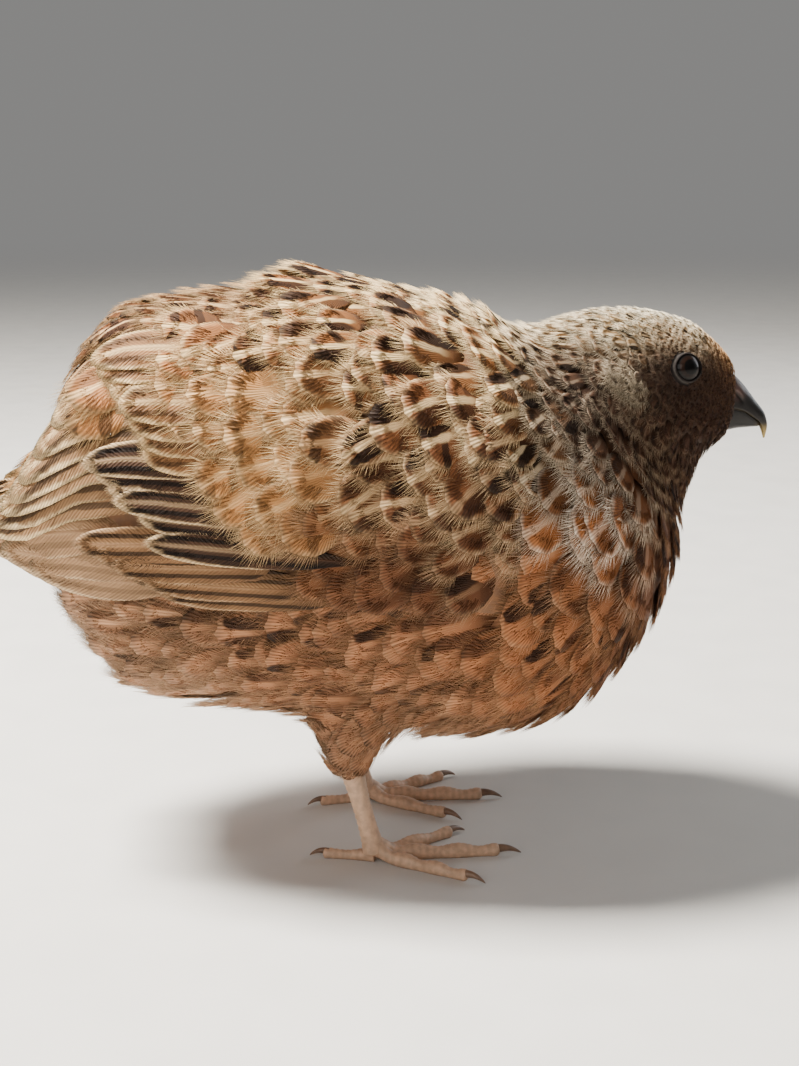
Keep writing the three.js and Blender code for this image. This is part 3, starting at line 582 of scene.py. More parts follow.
def spaced(points, gaps, random):
    """Rows of the points that are kept, so that none is nearer to a kept one than the gap there."""
    order = np.argsort(points[:, 0])
    p, g = points[order], gaps[order]
    widest = g.max()
    low = np.searchsorted(p[:, 0], p[:, 0] - widest)
    high = np.searchsorted(p[:, 0], p[:, 0] + widest)
    free = np.ones(len(p), bool)
    kept = []
    for i in random.permutation(len(p)):
        if free[i]:
            kept.append(i)
            near = slice(low[i], high[i])
            free[near] &= ((p[near] - p[i]) ** 2).sum(-1) > g[i] ** 2
    return order[np.array(kept)]


# Materials

class Graph:
    """Short way to write a node tree: each call adds a node and returns the socket it puts out."""

    def __init__(self, tree):
        self.tree = tree

    def node(self, kind, out=0, inputs=None, **settings):
        made = self.tree.nodes.new(kind)
        for key, value in settings.items():
            setattr(made, key, value)
        for key, value in (inputs or {}).items():
            self.put(made.inputs[key], value)
        return made.outputs[out]

    def put(self, socket, value):
        if isinstance(value, bpy.types.NodeSocket):
            self.tree.links.new(value, socket)
        else:
            socket.default_value = value

    def math(self, operation, a, b=0.0, c=0.0, clamp=False):
        return self.node("ShaderNodeMath", inputs={0: a, 1: b, 2: c}, operation=operation, use_clamp=clamp)

    def plus(self, a, b):
        return self.math("ADD", a, b)

    def minus(self, a, b):
        return self.math("SUBTRACT", a, b)

    def times(self, a, b, clamp=False):
        return self.math("MULTIPLY", a, b, clamp=clamp)

    def scaled(self, value, factor, offset):
        """Value times factor plus offset."""
        return self.math("MULTIPLY_ADD", value, factor, offset)

    def ramp(self, value, start, end, low=0.0, high=1.0):
        """Smooth step from low at start to high at end."""
        return self.node("ShaderNodeMapRange", inputs={0: value, 1: start, 2: end, 3: low, 4: high},
                         interpolation_type="SMOOTHSTEP")

    def mix(self, share, a, b, blend="MIX"):
        made = self.tree.nodes.new("ShaderNodeMix")
        made.data_type, made.blend_type = "RGBA", blend
        for key, value in ((0, share), (6, a), (7, b)):
            self.put(made.inputs[key], value)
        return made.outputs[2]

    def shaded(self, colour, shade):
        """A colour times a grey level."""
        grey = self.node("ShaderNodeCombineColor", inputs={0: shade, 1: shade, 2: shade})
        return self.mix(1.0, colour, grey, "MULTIPLY")


def group(name, inputs, outputs):
    """An empty shader node group with named sockets, and its graph, input node and output node."""
    tree = bpy.data.node_groups.new(name, "ShaderNodeTree")
    for key, kind in inputs:
        tree.interface.new_socket(key, in_out="INPUT", socket_type=kind)
    for key, kind in outputs:
        tree.interface.new_socket(key, in_out="OUTPUT", socket_type=kind)
    return tree, Graph(tree), tree.nodes.new("NodeGroupInput"), tree.nodes.new("NodeGroupOutput")


F, C, V = "NodeSocketFloat", "NodeSocketColor", "NodeSocketVector"


# Numbers of the vane pattern. Across is 0 at the shaft and 1 at the side rim, along is 0 at the
# root and 1 at the tip. Bars are the sine of 17 along - 2.4 across, shifted by the seed. Barb lines
# of a long feather: millimetres from one to the next, and millimetres along for each one across.
# Those of a fan start at a share of the length and are the sine of 84 times the angle there.
BLOTCH_ACROSS, STRIPE_ACROSS = .44, .47
BAR_WAVES, BAR_BEND = 17.0, -2.4
BARB_GAP, BARB_SLANT = .95, 1.3
FAN_START, FAN_WAVES = .22, 84.0
DARK_MARK, SHAFT_BROWN = (*tone(20, 13, 10), 1), (*tone(78, 52, 36), 1)


def vane_pattern():
    """Markings of one feather from its own maps. Noise bends along and across a little.

    Fringe: outside the curve across^2 + (2.5 along - 1.5)^2 = 1, softened. Streak: near across 0
    in the outer half. Blotches: an oval on each web half way along, weaker on one of them by the
    seed. Bars: waves along the feather that bend with the barbs. Stripes: a long dark band on each
    web. Barbs: on long feathers slanted lines of equal distance beside a dark shaft, on fans lines
    that spread from a point on the shaft. The gaps between them carry painted shade, and the root is
    darker.
    """
    tree, g, given, result = group(
        "vane_pattern",
        [("Base", C), ("Edge", C), ("Marks", C), ("Stripe", F), ("Seed", F), ("Fan", F), ("Map", V),
         ("Ruler", V), ("Grain", V)],
        [("Color", C), ("Height", F)])
    base, edge, seed, fan = [given.outputs[key] for key in ("Base", "Edge", "Seed", "Fan")]
    own = g.node("ShaderNodeSeparateXYZ", inputs={0: given.outputs["Map"]}).node
    across = g.math("ABSOLUTE", g.scaled(own.outputs[0], 2.0, -1.0))
    along = own.outputs[1]
    ruler = g.node("ShaderNodeSeparateXYZ", inputs={0: given.outputs["Ruler"]}).node
    beside, from_root = ruler.outputs[0], ruler.outputs[1]
    noise = g.node("ShaderNodeTexNoise", inputs={
        "Vector": given.outputs["Grain"], "Scale": 420.0, "Detail": 2.0})
    rough = g.scaled(noise, 2.0, -1.0)
    along_bent = g.scaled(rough, .06, along)
    across_bent = g.plus(g.times(rough, g.scaled(fan, .1, .05)), across)
    marks = g.node("ShaderNodeSeparateColor", inputs={0: given.outputs["Marks"]}).node
    streaks, blotches, bars = marks.outputs[0], marks.outputs[1], marks.outputs[2]

    end = g.math("MAXIMUM", g.scaled(along_bent, 2.5, -1.5), 0.0)
    rim = g.math("SQRT", g.plus(g.math("POWER", across_bent, 2.0), g.math("POWER", end, 2.0)))
    fringe = g.ramp(rim, g.scaled(fan, -.08, .82), g.scaled(fan, .14, 1.0))
    streak = g.times(g.ramp(across_bent, .2, .07), g.times(g.ramp(along, .25, .5), streaks))

    web = g.math("SIGN", g.minus(own.outputs[0], .5))
    lean = g.times(web, g.scaled(g.math("FRACT", g.times(seed, 7.3)), 3.2, -1.6))
    middle = g.scaled(seed, .16, g.scaled(lean, .05, .5))
    off_along = g.times(g.minus(along_bent, middle), 2.9)
    off_across = g.times(g.minus(across_bent, BLOTCH_ACROSS), 3.2)
    oval = g.plus(g.math("POWER", off_along, 2.0), g.math("POWER", off_across, 2.0))
    oval = g.scaled(rough, .45, oval)
    strength = g.times(blotches, g.math("ADD", 1.0, lean, clamp=True))
    blotch = g.times(g.ramp(oval, 1.45, .6), strength, clamp=True)

    phase = g.scaled(seed, 6.0, g.scaled(across_bent, BAR_BEND, g.times(along_bent, BAR_WAVES)))
    strength = g.times(bars, g.ramp(across, .05, .25))
    bar = g.times(g.ramp(g.math("SINE", phase), .15, .6), strength, clamp=True)
    off = g.math("ABSOLUTE", g.minus(across_bent, STRIPE_ACROSS))
    strength = g.times(given.outputs["Stripe"], g.ramp(along, .98, .9))
    stripe = g.times(g.ramp(off, .17, .09), strength, clamp=True)
    dark = g.math("MAXIMUM", blotch, g.times(bar, g.ramp(fringe, .8, .3)))
    dark = g.math("MAXIMUM", dark, stripe)

    slanted = g.scaled(g.math("ABSOLUTE", beside), -BARB_SLANT, from_root)
    slanted = g.math("SINE", g.times(slanted, 2 * math.pi * RULER_MM / BARB_GAP))
    length = g.math("DIVIDE", from_root, g.math("MAXIMUM", along, .05))
    turned = g.math("ARCTAN2", beside, g.scaled(length, -FAN_START, from_root))
    spread = g.math("SINE", g.times(turned, FAN_WAVES))
    barbs = g.mix(fan, slanted, spread)
    shaft = g.times(g.ramp(across, .07, .03), g.minus(1.0, fan))
    fine = g.math("MAXIMUM", g.scaled(barbs, .5, .5), g.times(shaft, 2.0))

    colour = g.mix(streak, g.mix(fringe, base, edge), edge)
    colour = g.mix(g.times(dark, .95), colour, g.mix(.95, base, DARK_MARK))
    colour = g.mix(g.times(shaft, .5), colour, SHAFT_BROWN)
    # Darker towards the root. Painted shade in the gaps between barbs, growing towards the rim.
    root = g.ramp(along, .1, .55, .5, 1.0)
    gaps = g.times(g.scaled(fan, .08, .44), g.ramp(rim, .25, .9, .5, 1.0))
    worn = g.scaled(rough, .12, 1.0)
    painted_gap_shade = g.minus(1.04, g.times(gaps, g.minus(1.0, fine)))
    shade = g.times(g.times(root, worn), painted_gap_shade)
    g.put(result.inputs["Color"], g.shaded(colour, shade))
    g.put(result.inputs["Height"], fine)
    return tree


def fine_grain():
    """Fine grain of a plain finish: noise, stepped smoothly to a level from -1 to 1.

    The colour is multiplied by 1 + spread level, the roughness by 1 + 0.15 level, and the noise is
    the height.
    """
    tree, g, given, result = group(
        "fine_grain", [("Base", C), ("Place", V), ("Scale", F), ("Spread", F), ("Rough", F)],
        [("Color", C), ("Roughness", F), ("Height", F)])
    noise = g.node("ShaderNodeTexNoise", inputs={
        "Vector": given.outputs["Place"], "Scale": given.outputs["Scale"], "Detail": 4.0})
    level = g.ramp(noise, .3, .7, -1.0, 1.0)
    shade = g.scaled(level, given.outputs["Spread"], 1.0)
    g.put(result.inputs["Color"], g.shaded(given.outputs["Base"], shade))
    worn = g.scaled(level, .15, 1.0)
    g.put(result.inputs["Roughness"], g.times(given.outputs["Rough"], worn, clamp=True))
    g.put(result.inputs["Height"], noise)
    return tree


VANE_PATTERN = vane_pattern()
FINE_GRAIN = fine_grain()


def new_material(name):
    """A material, its graph and its Principled shader."""
    material = bpy.data.materials.new(name)
    material.use_nodes = True
    return material, Graph(material.node_tree), material.node_tree.nodes["Principled BSDF"]


def plumage_material(name, rough=.75, bump=.45):
    """Feather finish: the vane pattern from each feather's own maps and colours, a little silky."""
    material, g, shader = new_material(name)
    base, edge, marks = [g.node("ShaderNodeAttribute", attribute_name=key).node for key in COLOUR_KEYS]
    pattern = g.node("ShaderNodeGroup", node_tree=VANE_PATTERN).node
    for key, value in (
            ("Base", base.outputs["Color"]), ("Seed", base.outputs["Alpha"]),
            ("Edge", edge.outputs["Color"]), ("Fan", edge.outputs["Alpha"]),
            ("Marks", marks.outputs["Color"]), ("Stripe", marks.outputs["Alpha"]),
            ("Map", g.node("ShaderNodeUVMap", uv_map="vane")),
            ("Ruler", g.node("ShaderNodeUVMap", uv_map="ruler")),
            ("Grain", g.node("ShaderNodeTexCoord", out="Object"))):
        g.put(pattern.inputs[key], value)
    g.put(shader.inputs["Base Color"], pattern.outputs["Color"])
    shader.inputs["Roughness"].default_value = rough
    shader.inputs["Specular IOR Level"].default_value = .12
    shader.inputs["Sheen Weight"].default_value = .02
    shader.inputs["Sheen Roughness"].default_value = .4
    g.put(shader.inputs["Normal"], g.node("ShaderNodeBump", inputs={
        "Strength": bump, "Distance": .0002, "Height": pattern.outputs["Height"]}))
    return material


def surface_material(name, colour=None, rough=.5, gloss=.5, grain=900.0, depth=.0001, strength=.3,
                     spread=.2):
    """Plain finish with a fine grain. Without a colour it takes the mesh's own at each point."""
    material, g, shader = new_material(name)
    if colour is None:
        base = g.node("ShaderNodeAttribute", attribute_name="coat_base")
    else:
        base = (*colour, 1)
    fine = g.node("ShaderNodeGroup", node_tree=FINE_GRAIN).node
    for key, value in (("Base", base), ("Place", g.node("ShaderNodeTexCoord", out="Object")),
                       ("Scale", grain), ("Spread", spread), ("Rough", rough)):
        g.put(fine.inputs[key], value)
    g.put(shader.inputs["Base Color"], fine.outputs["Color"])
    g.put(shader.inputs["Roughness"], fine.outputs["Roughness"])
    shader.inputs["Specular IOR Level"].default_value = gloss
    g.put(shader.inputs["Normal"], g.node("ShaderNodeBump", inputs={
        "Strength": strength, "Distance": depth, "Height": fine.outputs["Height"]}))
    return material


BODY_COAT = plumage_material("body_plumage")
HEAD_COAT = plumage_material("head_plumage", bump=.25)
WING_COAT = plumage_material("wing_plumage", rough=.65)
TAIL_COAT = plumage_material("tail_plumage", rough=.65)
SKIN = surface_material("skin_under_coat", rough=.8, grain=500.0)
LID_SKIN = surface_material("eyelid_skin", rough=.85, gloss=.12, grain=1600.0, depth=.0002, strength=.6)
HORN = surface_material("bill_horn", rough=.42, gloss=.26, grain=700.0, strength=.12, spread=.12)
SCUTES = surface_material("leg_scutes", rough=.5, grain=800.0, strength=.35, spread=.14)
CLAW = surface_material("claw_horn", tone(120, 92, 72), rough=.38, grain=600.0, strength=.15)


def shaded(colour):
    """A colour for every point, with full alpha."""
    return np.concatenate([colour, np.ones((*colour.shape[:-1], 1))], -1)


def eye_place(side):
    """Centre of an eyeball, and three directions of its own: ahead, out, up.

    The ball's front stands proud of the head's widest section by a set distance. Out is square to
    the head's surface, ahead is the part of +X square to it, and up the part of +Z square to both.
    """
    half = float(section(HEAD, np.array(EYE["x"]))[2])
    centre = np.array([EYE["x"], side * (half + EYE["proud"] - EYE["front"]), EYE["z"]])
    out = measure(BODY, centre + [0, side * 2.5, 0])[1]
    ahead = unit(np.array([1.0, 0, 0]) - out * out[0])
    up = unit(np.array([0, 0, 1.0]) - out * out[2] - ahead * ahead[2])
    return centre, np.stack([ahead, out, up])


# The skin: a net round the body, drawn in by the coat's depth, and by half of it at the front.
# The skin takes the coat's colour darkened by SKIN_SHADE, a painted shade for the gaps under the feathers.
SKIN_SHADE = .7
net, net_quads = wrap(BODY)
outer = settle(BODY, net, np.zeros(len(net)), 4)
coat_depth = around(SIZES, outer)[:, 3]
skin_points = settle(BODY, outer, -coat_depth * np.interp(outer[:, 0], [48, 60], [1, .5]), 3)
skin_colour_in_painted_shade = tone(*around(COLOURS, outer)[:, :3].T).T * SKIN_SHADE
skin = piece("body_skin", skin_points, [net_quads], SKIN, "body_feathers",
             values={"coat_base": shaded(skin_colour_in_painted_shade)})
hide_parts("torso", "neck", "head", "thigh_right", "thigh_left")

# Roots of the body's feathers, thrown over the net more thickly where the coat is finer. Those
# under the wing, at an eye or under the bill's root are left out, and then those too near another.
THROWS = 90000
random = np.random.default_rng(SEED)
corner = outer[net_quads]
area = np.linalg.norm(np.cross(corner[:, 2] - corner[:, 0], corner[:, 3] - corner[:, 1]), axis=-1) / 2
share = area / around(SIZES, corner.mean(1))[:, 2] ** 2
pick = random.choice(len(corner), THROWS, p=share / share.sum())
s, t = random.random((2, len(pick), 1))
thrown = ((corner[pick, 0] * (1 - s) + corner[pick, 1] * s) * (1 - t)
          + (corner[pick, 3] * (1 - s) + corner[pick, 2] * s) * t)
thrown = settle(BODY, thrown, np.zeros(len(thrown)))
hull_x = thrown[:, 0]
hull_mid, hull_high, hull_half = section(WING_HULL, hull_x)
wing_angle = np.degrees(np.arctan2((thrown[:, 2] - hull_mid) / np.maximum(hull_high, 1),
                                   np.abs(thrown[:, 1]) / np.maximum(hull_half, 1)))
wing_top = np.interp(hull_x, [-60, -30, 0], [30, 52, 60])
under_wing = (hull_x < 2) & (wing_angle > -6) & (wing_angle < wing_top)
at_eye = np.zeros(len(thrown), bool)
for side in SIDES.values():
    eye_centre, eye_axes = eye_place(side)
    ahead, out, up = ((thrown - eye_centre) @ eye_axes.T).T
    at_eye |= (np.hypot(ahead, up) < EYE["bare"] + .3 * np.clip(ahead / 3, -1, 1)) & (out > 0)
at_bill = thrown[:, 0] > np.interp(thrown[:, 2], [86, 90, 96, 103], [73, 74.2, 75.0, 75.6])
thrown = thrown[~(under_wing | at_eye | at_bill)]
thrown = thrown[spaced(thrown, around(SIZES, thrown)[:, 2], random)]
sizes = around(SIZES, thrown)


def coat(name, keep, template, barbs, barb_width, material, slot, thick=.12):
    """The body's feathers whose roots are kept, as one piece of vanes and one of barbs.

    Low and high are set by the coat's depth, with chance. At the rear of the belly the feathers are
    loose, so they curl more. Beside the wing's front edge the tips rise by how far they would lie
    inside the wing's own form. At the front of the mantle the feathers lie flatter.
    """
    roots, size = thrown[keep], sizes[keep]
    x, _, z = roots.T
    n = len(roots)
    vary = 1 + .1 * random.normal(0, 1, (2, n))
    look = colours(around(COLOURS, roots), random)
    length, width = size[:, 0] * vary[0], size[:, 1] * vary[1]
    loose = np.clip((-28 - x) / 22, 0, 1) * np.clip((78 - z) / 14, 0, 1)
    look.update(length=length, width=width, fringe=size[:, 4], low=-size[:, 3], rise=.75, thick=thick,
                high=.25 + .06 * size[:, 3] * random.normal(0, 1, n),
                roll=.035 * width * random.normal(0, 1, n), crown=.05 * width,
                curl=(.012 + .09 * loose) * length * np.abs(random.normal(0, 1, n)))
    path = paths(BODY, LIE, roots, length, random)
    tip_depth = np.interp(z, [108, 116], [.9, -.3]) - measure(HULL, path["line"][:, -1])[0]
    beside_wing = (measure(HULL, roots)[0] > -1) * np.interp(x, [8, 18, 30, 40], [0, .8, .8, 0])
    flat = np.interp(x, [16, 24, 36, 44], [0, 1.7, 1.7, 0]) * np.clip((z - 102) / 8, 0, 1)
    look["high"] = look["high"] + beside_wing * np.clip(tip_depth, 0, 5.5) - flat
    look["low"] = look["low"] - .4 * flat
    return plumage(name, path, look, material, slot, template, barbs, barb_width, random)


# The gap between roots parts the big feathers from the middling and the small ones.
big = sizes[:, 2] > 3.3
mid = (sizes[:, 2] > 1.8) & ~big
small = ~big & ~mid
ahead_of = thrown[:, 0] > 14
for side_name, side in SIDES.items():
    here = thrown[:, 1] * side > 0
    for name, keep, template, barbs, barb_width in (
            ("breast", big & here & ahead_of, (4, 8), 84, .16),
            ("back", big & here & ~ahead_of, (4, 8), 78, .16),
            ("neck", mid & here, (3, 6), 50, .13)):
        coat(f"{name}_feathers_{side_name}", keep, vane_template(*template), barbs, barb_width,
             BODY_COAT, "body_feathers")
    coat(f"head_feathers_{side_name}", small & here, vane_template(3, 4), 18, .115,
         HEAD_COAT, "head_feathers", .08)


def ear_tuft(side_name, side):
    """The pale hair-like tuft over an ear: roots thrown in an ellipse, long loose barbs, raised tips."""
    count = 46
    angle, away = random.uniform(0, 2 * math.pi, count), np.sqrt(random.random(count))
    roots = np.stack([48.6 + 3.2 * away * np.cos(angle), np.full(count, side * 12.0),
                      101.6 + 2.2 * away * np.sin(angle)], -1)
    roots = settle(BODY, roots, np.zeros(count), 4)
    paint_row = np.array([(88, 70, 54, 178, 162, 138, .1, .3, 0)], float)
    look = colours(np.repeat(paint_row, count, 0), random, .12)
    length = 4.2 * (1 + .15 * random.normal(0, 1, count))
    look.update(length=length, width=.5 * length, fringe=2.6, low=-.6, rise=.8, crown=.1, thick=.08,
                high=.9 + .35 * random.normal(0, 1, count), roll=.1 * random.normal(0, 1, count),
                curl=.25 * np.abs(random.normal(0, 1, count)))
    plumage(f"ear_tuft_{side_name}", paths(BODY, LIE, roots, length, random, wander=16), look,
            HEAD_COAT, "head_feathers", vane_template(3, 4), 19, .12, random)


for side_name, side in SIDES.items():
    ear_tuft(side_name, side)

# Wing feathers in tiers, from below. First and last feather of a tier: root x, angle, tip x, angle,
# width. Then count, lift, fringe, then its colours as in the table of coat colours, and stripes.
WING_ROWS = [
    # Primaries.
    ((-36, -10, -72, -17, 7.5), (-44, 0, -87, 2, 9), 9, 0, .6,
     (168, 132, 98, 208, 176, 138, .2, .1, .25), .45),
    # Long inner feathers.
    ((-34, 6, -83, 13, 9), (-36, 34, -66, 42, 10), 7, .8, .7,
     (150, 114, 80, 218, 188, 142, .5, .1, .3), .85),
    # Primary coverts.
    ((-8, -12, -44, -13, 5), (-26, -1, -60, -4, 6), 6, 1.3, .8,
     (136, 100, 68, 176, 142, 106, .3, .2, .3), .9),
    # Secondaries.
    ((-6, -3, -47, -1, 5.4), (-22, 14, -58, 17, 6.2), 6, 2.0, .8,
     (72, 50, 36, 218, 186, 142, .3, .3, .5), 1.0),
    # Greater coverts.
    ((-20, 17, -47, 18, 7), (-26, 44, -56, 48, 8), 8, 2.5, 1.3,
     (150, 106, 68, 214, 180, 130, .7, .3, .4), .7),
]
# The wing's small coverts and scapulars: place, reach, then length, width, fringe, how deep the
# root lies and how high the tip stands over the wing's own surface.
COVERT_SIZES = np.array([
    (30, 30, 80, 6, 9, 8, 3.2, -3.4, -.9), (22, 10, 110, 7, 10, 8.5, 2.8, -2.8, .2),
    (14, 34, 88, 9, 13, 11, 3.4, -.6, 2.6), (4, 20, 112, 10, 13.5, 10.5, 2.8, .2, 3.4),
    (-18, 34, 98, 10, 14.5, 11, 3.4, .6, 3.7), (-30, 40, 80, 9, 14, 9.5, 3.0, .6, 3.3),
    (-18, 10, 120, 9, 14, 8.4, 2.8, .6, 3.8), (6, 42, 66, 8, 12, 9.5, 3.0, -1.6, 1.8)], float)
COVERT_LIE = np.array([
    (24, 32, 86, 12, -1, 0, -.5), (16, 12, 114, 12, -1, .15, -.15), (0, 34, 95, 12, -1, 0, -.42),
    (-20, 36, 88, 12, -1, 0, -.25), (-25, 14, 116, 12, -1, .2, -.1), (-30, 40, 66, 12, -1, 0, .05),
    (8, 42, 64, 10, -1, 0, -.25)], float)
# Covert colours: place, reach, base (3), fringe (3), shaft streak, blotches, bars. The rows at the shoulder
# (24, 34, 82) and low at the front of the wing (2, 42, 68) are their own brown darkened further by painted
# shade.
COVERT_COLOURS = np.array([
    (24, 34, 82, 7, 108, 67, 41, 205, 174, 135, .4, .7, .3),
    (22, 12, 112, 9, 146, 98, 57, 235, 206, 157, 1, 1.1, .4),
    (8, 34, 92, 8, 122, 76, 47, 215, 182, 136, .9, 1, .6),
    (0, 18, 116, 9, 142, 92, 53, 225, 192, 140, 1, 1, .6),
    (-16, 36, 92, 9, 188, 135, 82, 235, 200, 147, .2, .1, .35),
    (-30, 38, 88, 9, 186, 129, 78, 232, 194, 140, .5, .3, .6),
    (-24, 16, 114, 8, 163, 105, 61, 228, 190, 136, 1, .6, .7),
    (2, 42, 68, 9, 101, 63, 40, 132, 94, 66, .1, .4, .1),
    (-14, 42, 64, 9, 132, 86, 56, 163, 121, 87, .1, .15, .2),
    (-28, 42, 66, 8, 168, 113, 71, 201, 158, 114, .2, .1, .5)], float)


def feather_rows(field, form, side, rows, random):
    """Midlines and looks of tiers of feathers, each tier gliding from its first feather to its last.

    A midline runs over the form in equal steps of x and angle from the root to the tip.
    """
    lines, looks = [], []
    for first, last, count, lift, fringe, paint_row, stripe in rows:
        share = np.linspace(0, 1, count)[:, None]
        row = np.array(first) * (1 - share) + np.array(last) * share
        row[:, 2:4] += random.normal(0, .5, (count, 2))
        root_x, root_angle, tip_x, tip_angle, width = row.T[..., None]
        t = np.linspace(0, 1, 6)
        line = form_point(form, root_x * (1 - t) + tip_x * t, root_angle * (1 - t) + tip_angle * t, side)
        length = np.linalg.norm(np.diff(line, axis=1), axis=-1).sum(1)
        width, ones = width[:, 0], np.ones(count)
        look = colours(np.repeat(np.array([paint_row], float), count, 0), random, .06, .15, stripe, 0.0)
        look.update(length=length, width=width * 1.18, fringe=fringe * ones, low=(lift - 2.6) * ones,
                    high=lift + .35 + .2 * random.normal(0, 1, count), rise=.4 * ones,
                    roll=-side * .06 * width, crown=.02 * width, curl=.012 * length, thick=.2 * ones)
        lines.append(line)
        looks.append(look)
    look = {key: np.concatenate([part[key] for part in looks]) for key in looks[0]}
    return finish_paths(field, np.concatenate(lines)), look


def small_coverts(side, random):
    """Midlines and looks of the small coverts and scapulars, scattered over the wing.

    Roots are thrown between a lower and an upper angle that glide along x, which leaves the long
    coverts at the rear free. Scapulars, in front of a slanting line, lie a step higher, so that
    their tips overhang the coverts. Roots at either end sink in. Near the crest of the back all
    lie flatter and straighter.
    """
    x = random.uniform(-46, 31, 6500)
    top = np.interp(x, [-46, -34, -20, -6, 22, 31], [46, 51, 60, 86, 92, 82])
    bottom = np.interp(x, [-46, -34, -24, -10, 16, 31], [36, 29, 15, -6, -9, 10])
    roots = form_point(WING_HULL, x, random.uniform(bottom, top), side)
    roots = roots[spaced(roots, np.full(len(roots), 5.0), random)]
    size = around(COVERT_SIZES, roots)
    x, _, z = roots.T
    n = len(roots)
    vary = 1 + .12 * random.normal(0, 1, (2, n))
    scapular = x > np.interp(z, [58, 90, 122], [4, -2, -12])
    step = np.where(scapular, np.interp(x, [14, 24], [.7, -.6]), -.8)
    look = colours(around(COVERT_COLOURS, roots), random)
    length, width = size[:, 0] * vary[0], size[:, 1] * vary[1]
    sink = np.interp(x, [-40, -27, 8, 18], [1.8, 0, 0, 2.4])
    crest = np.clip((z - 112) / 6, 0, 1)
    flat = crest * np.interp(x, [-14, -8, -2, 4, 10, 15, 20], [.4, 1.6, 2.8, 3.4, 3.2, 2.2, .8])
    look.update(length=length, width=width, fringe=size[:, 2], rise=.8, crown=.06 * width, thick=.14,
                low=size[:, 3] - sink - .4 * flat,
                high=size[:, 4] + step - flat + .3 * random.normal(0, 1, n),
                roll=(.05 - .03 * crest) * width * random.normal(0, 1, n),
                curl=(.04 - .034 * crest) * length * np.abs(random.normal(0, 1, n)))
    return paths(HULL, COVERT_LIE, roots, length, random, wander=11), look


for side_name, side in SIDES.items():
    wing_random = np.random.default_rng(SEED + 5 + side)
    vanes = plumage(f"flight_feathers_{side_name}",
                    *feather_rows(HULL, WING_HULL, side, WING_ROWS, wing_random), WING_COAT,
                    "wing_feathers", vane_template(14, 16, bow=.3, ragged=.004), 80, .15, wing_random)
    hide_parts(f"wing_{side_name}")
    plumage(f"wing_coverts_{side_name}", *small_coverts(side, wing_random), WING_COAT,
            "wing_feathers", vane_template(4, 8), 84, .16, wing_random)


BED_GRID = (30, 20)


def wing_bed(side):
    """The arm under a wing's feathers: a plate over the hull's form, thick inside, thin at the rim.

    Its top lies 2.4 - 1.4 fade below the hull and its underside 3.2 + 0.8 fade, where fade is
    4 sin(pi u) sin(pi v), at most 1.
    """
    u, v = np.meshgrid(np.linspace(0, 1, BED_GRID[0]), np.linspace(0, 1, BED_GRID[1]), indexing="ij")
    x = 22 - 86 * u
    angle = (-12 - 4 * u) + v * ((88 - 48 * u) - (-12 - 4 * u))
    fade = np.clip(4 * np.sin(np.pi * u) * np.sin(np.pi * v), 0, 1)
    middle = form_point(WING_HULL, x, angle, side)
    return settle(HULL, middle, -2.4 + 1.4 * fade), settle(HULL, middle, -3.2 - .8 * fade)


def sheet_faces(rows, columns, flip):
    """Faces of a closed plate whose top and under grids have rows by columns points."""
    i, j = [g.ravel() for g in np.meshgrid(np.arange(rows - 1), np.arange(columns - 1), indexing="ij")]
    a = i * columns + j
    top = np.stack([a, a + columns, a + columns + 1, a + 1], -1)
    count = rows * columns
    rim = np.concatenate([np.arange(columns), np.arange(1, rows) * columns + columns - 1,
                          (rows - 1) * columns + np.arange(columns - 2, -1, -1),
                          np.arange(rows - 2, 0, -1) * columns])
    after = np.roll(rim, -1)
    wall = np.stack([rim, after, after + count, rim + count], -1)
    quads = np.concatenate([top, top[:, ::-1] + count, wall])
    return quads[:, ::-1] if flip else quads


for side_name, side in SIDES.items():
    top, under = wing_bed(side)
    points = np.concatenate([top.reshape(-1, 3), under.reshape(-1, 3)])
    bed_colour = np.tile(tone(120, 84, 56), (len(points), 1))
    piece(f"wing_bed_{side_name}", points, [sheet_faces(*BED_GRID, side < 0)], SKIN, "wing_feathers",
          values={"coat_base": shaded(bed_colour)})

# Tail feathers under the wing tips, in tiers as for the wing.
TAIL_ROWS = [
    # Long tail feathers.
    ((-60, 6, -86, 6, 8), (-60, 84, -83, 84, 9), 6, 0, 1.0,
     (132, 94, 58, 206, 168, 116, .8, .1, 1.1), .0),
    # Tail coverts.
    ((-56, 14, -78, 16, 9), (-56, 86, -74, 86, 9.5), 6, 1.4, 2.2,
     (118, 76, 42, 198, 152, 98, .9, .4, .8), .0),
    # Rump feathers.
    ((-50, 20, -69, 22, 9), (-50, 86, -66, 86, 9.5), 6, 2.4, 2.4,
     (116, 74, 40, 194, 148, 94, .9, .5, .8), .0),
]
tail_random = np.random.default_rng(SEED + 2)
halves = [feather_rows(RUMP, TAIL_FORM, side, TAIL_ROWS, tail_random) for side in SIDES.values()]
tail_path = {key: np.concatenate([half[0][key] for half in halves]) for key in ("line", "out", "side")}
tail_path["field"] = RUMP
tail_look = {key: np.concatenate([half[1][key] for half in halves]) for key in halves[0][1]}
tail = plumage("tail_feathers", tail_path, tail_look, TAIL_COAT, "tail_feathers",
               vane_template(12, 14, bow=.3, ragged=.004), 80, .15, tail_random)
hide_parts("tail")


# Eyes, lids, bill and legs

def turns(count):
    """Angles of equal steps round a full turn."""
    return np.linspace(0, 2 * math.pi, count, endpoint=False)


def ball(radius, rings=40, around_count=48):
    """Sphere whose poles lie on its second axis, with a low dome over the pupil, cos(angle)^16 high."""
    a = np.linspace(0, math.pi, rings)[1:-1, None]
    b = turns(around_count)[None]
    r = radius + EYE["dome"] * np.maximum(np.cos(a), 0) ** 16
    grid = np.stack([r * np.sin(a) * np.cos(b), r * np.cos(a) + 0 * b, r * np.sin(a) * np.sin(b)], -1)
    hubs = np.array([[0, radius + EYE["dome"], 0], [0, -radius, 0]])
    return np.concatenate([grid.reshape(-1, 3), hubs]), rings - 2, around_count


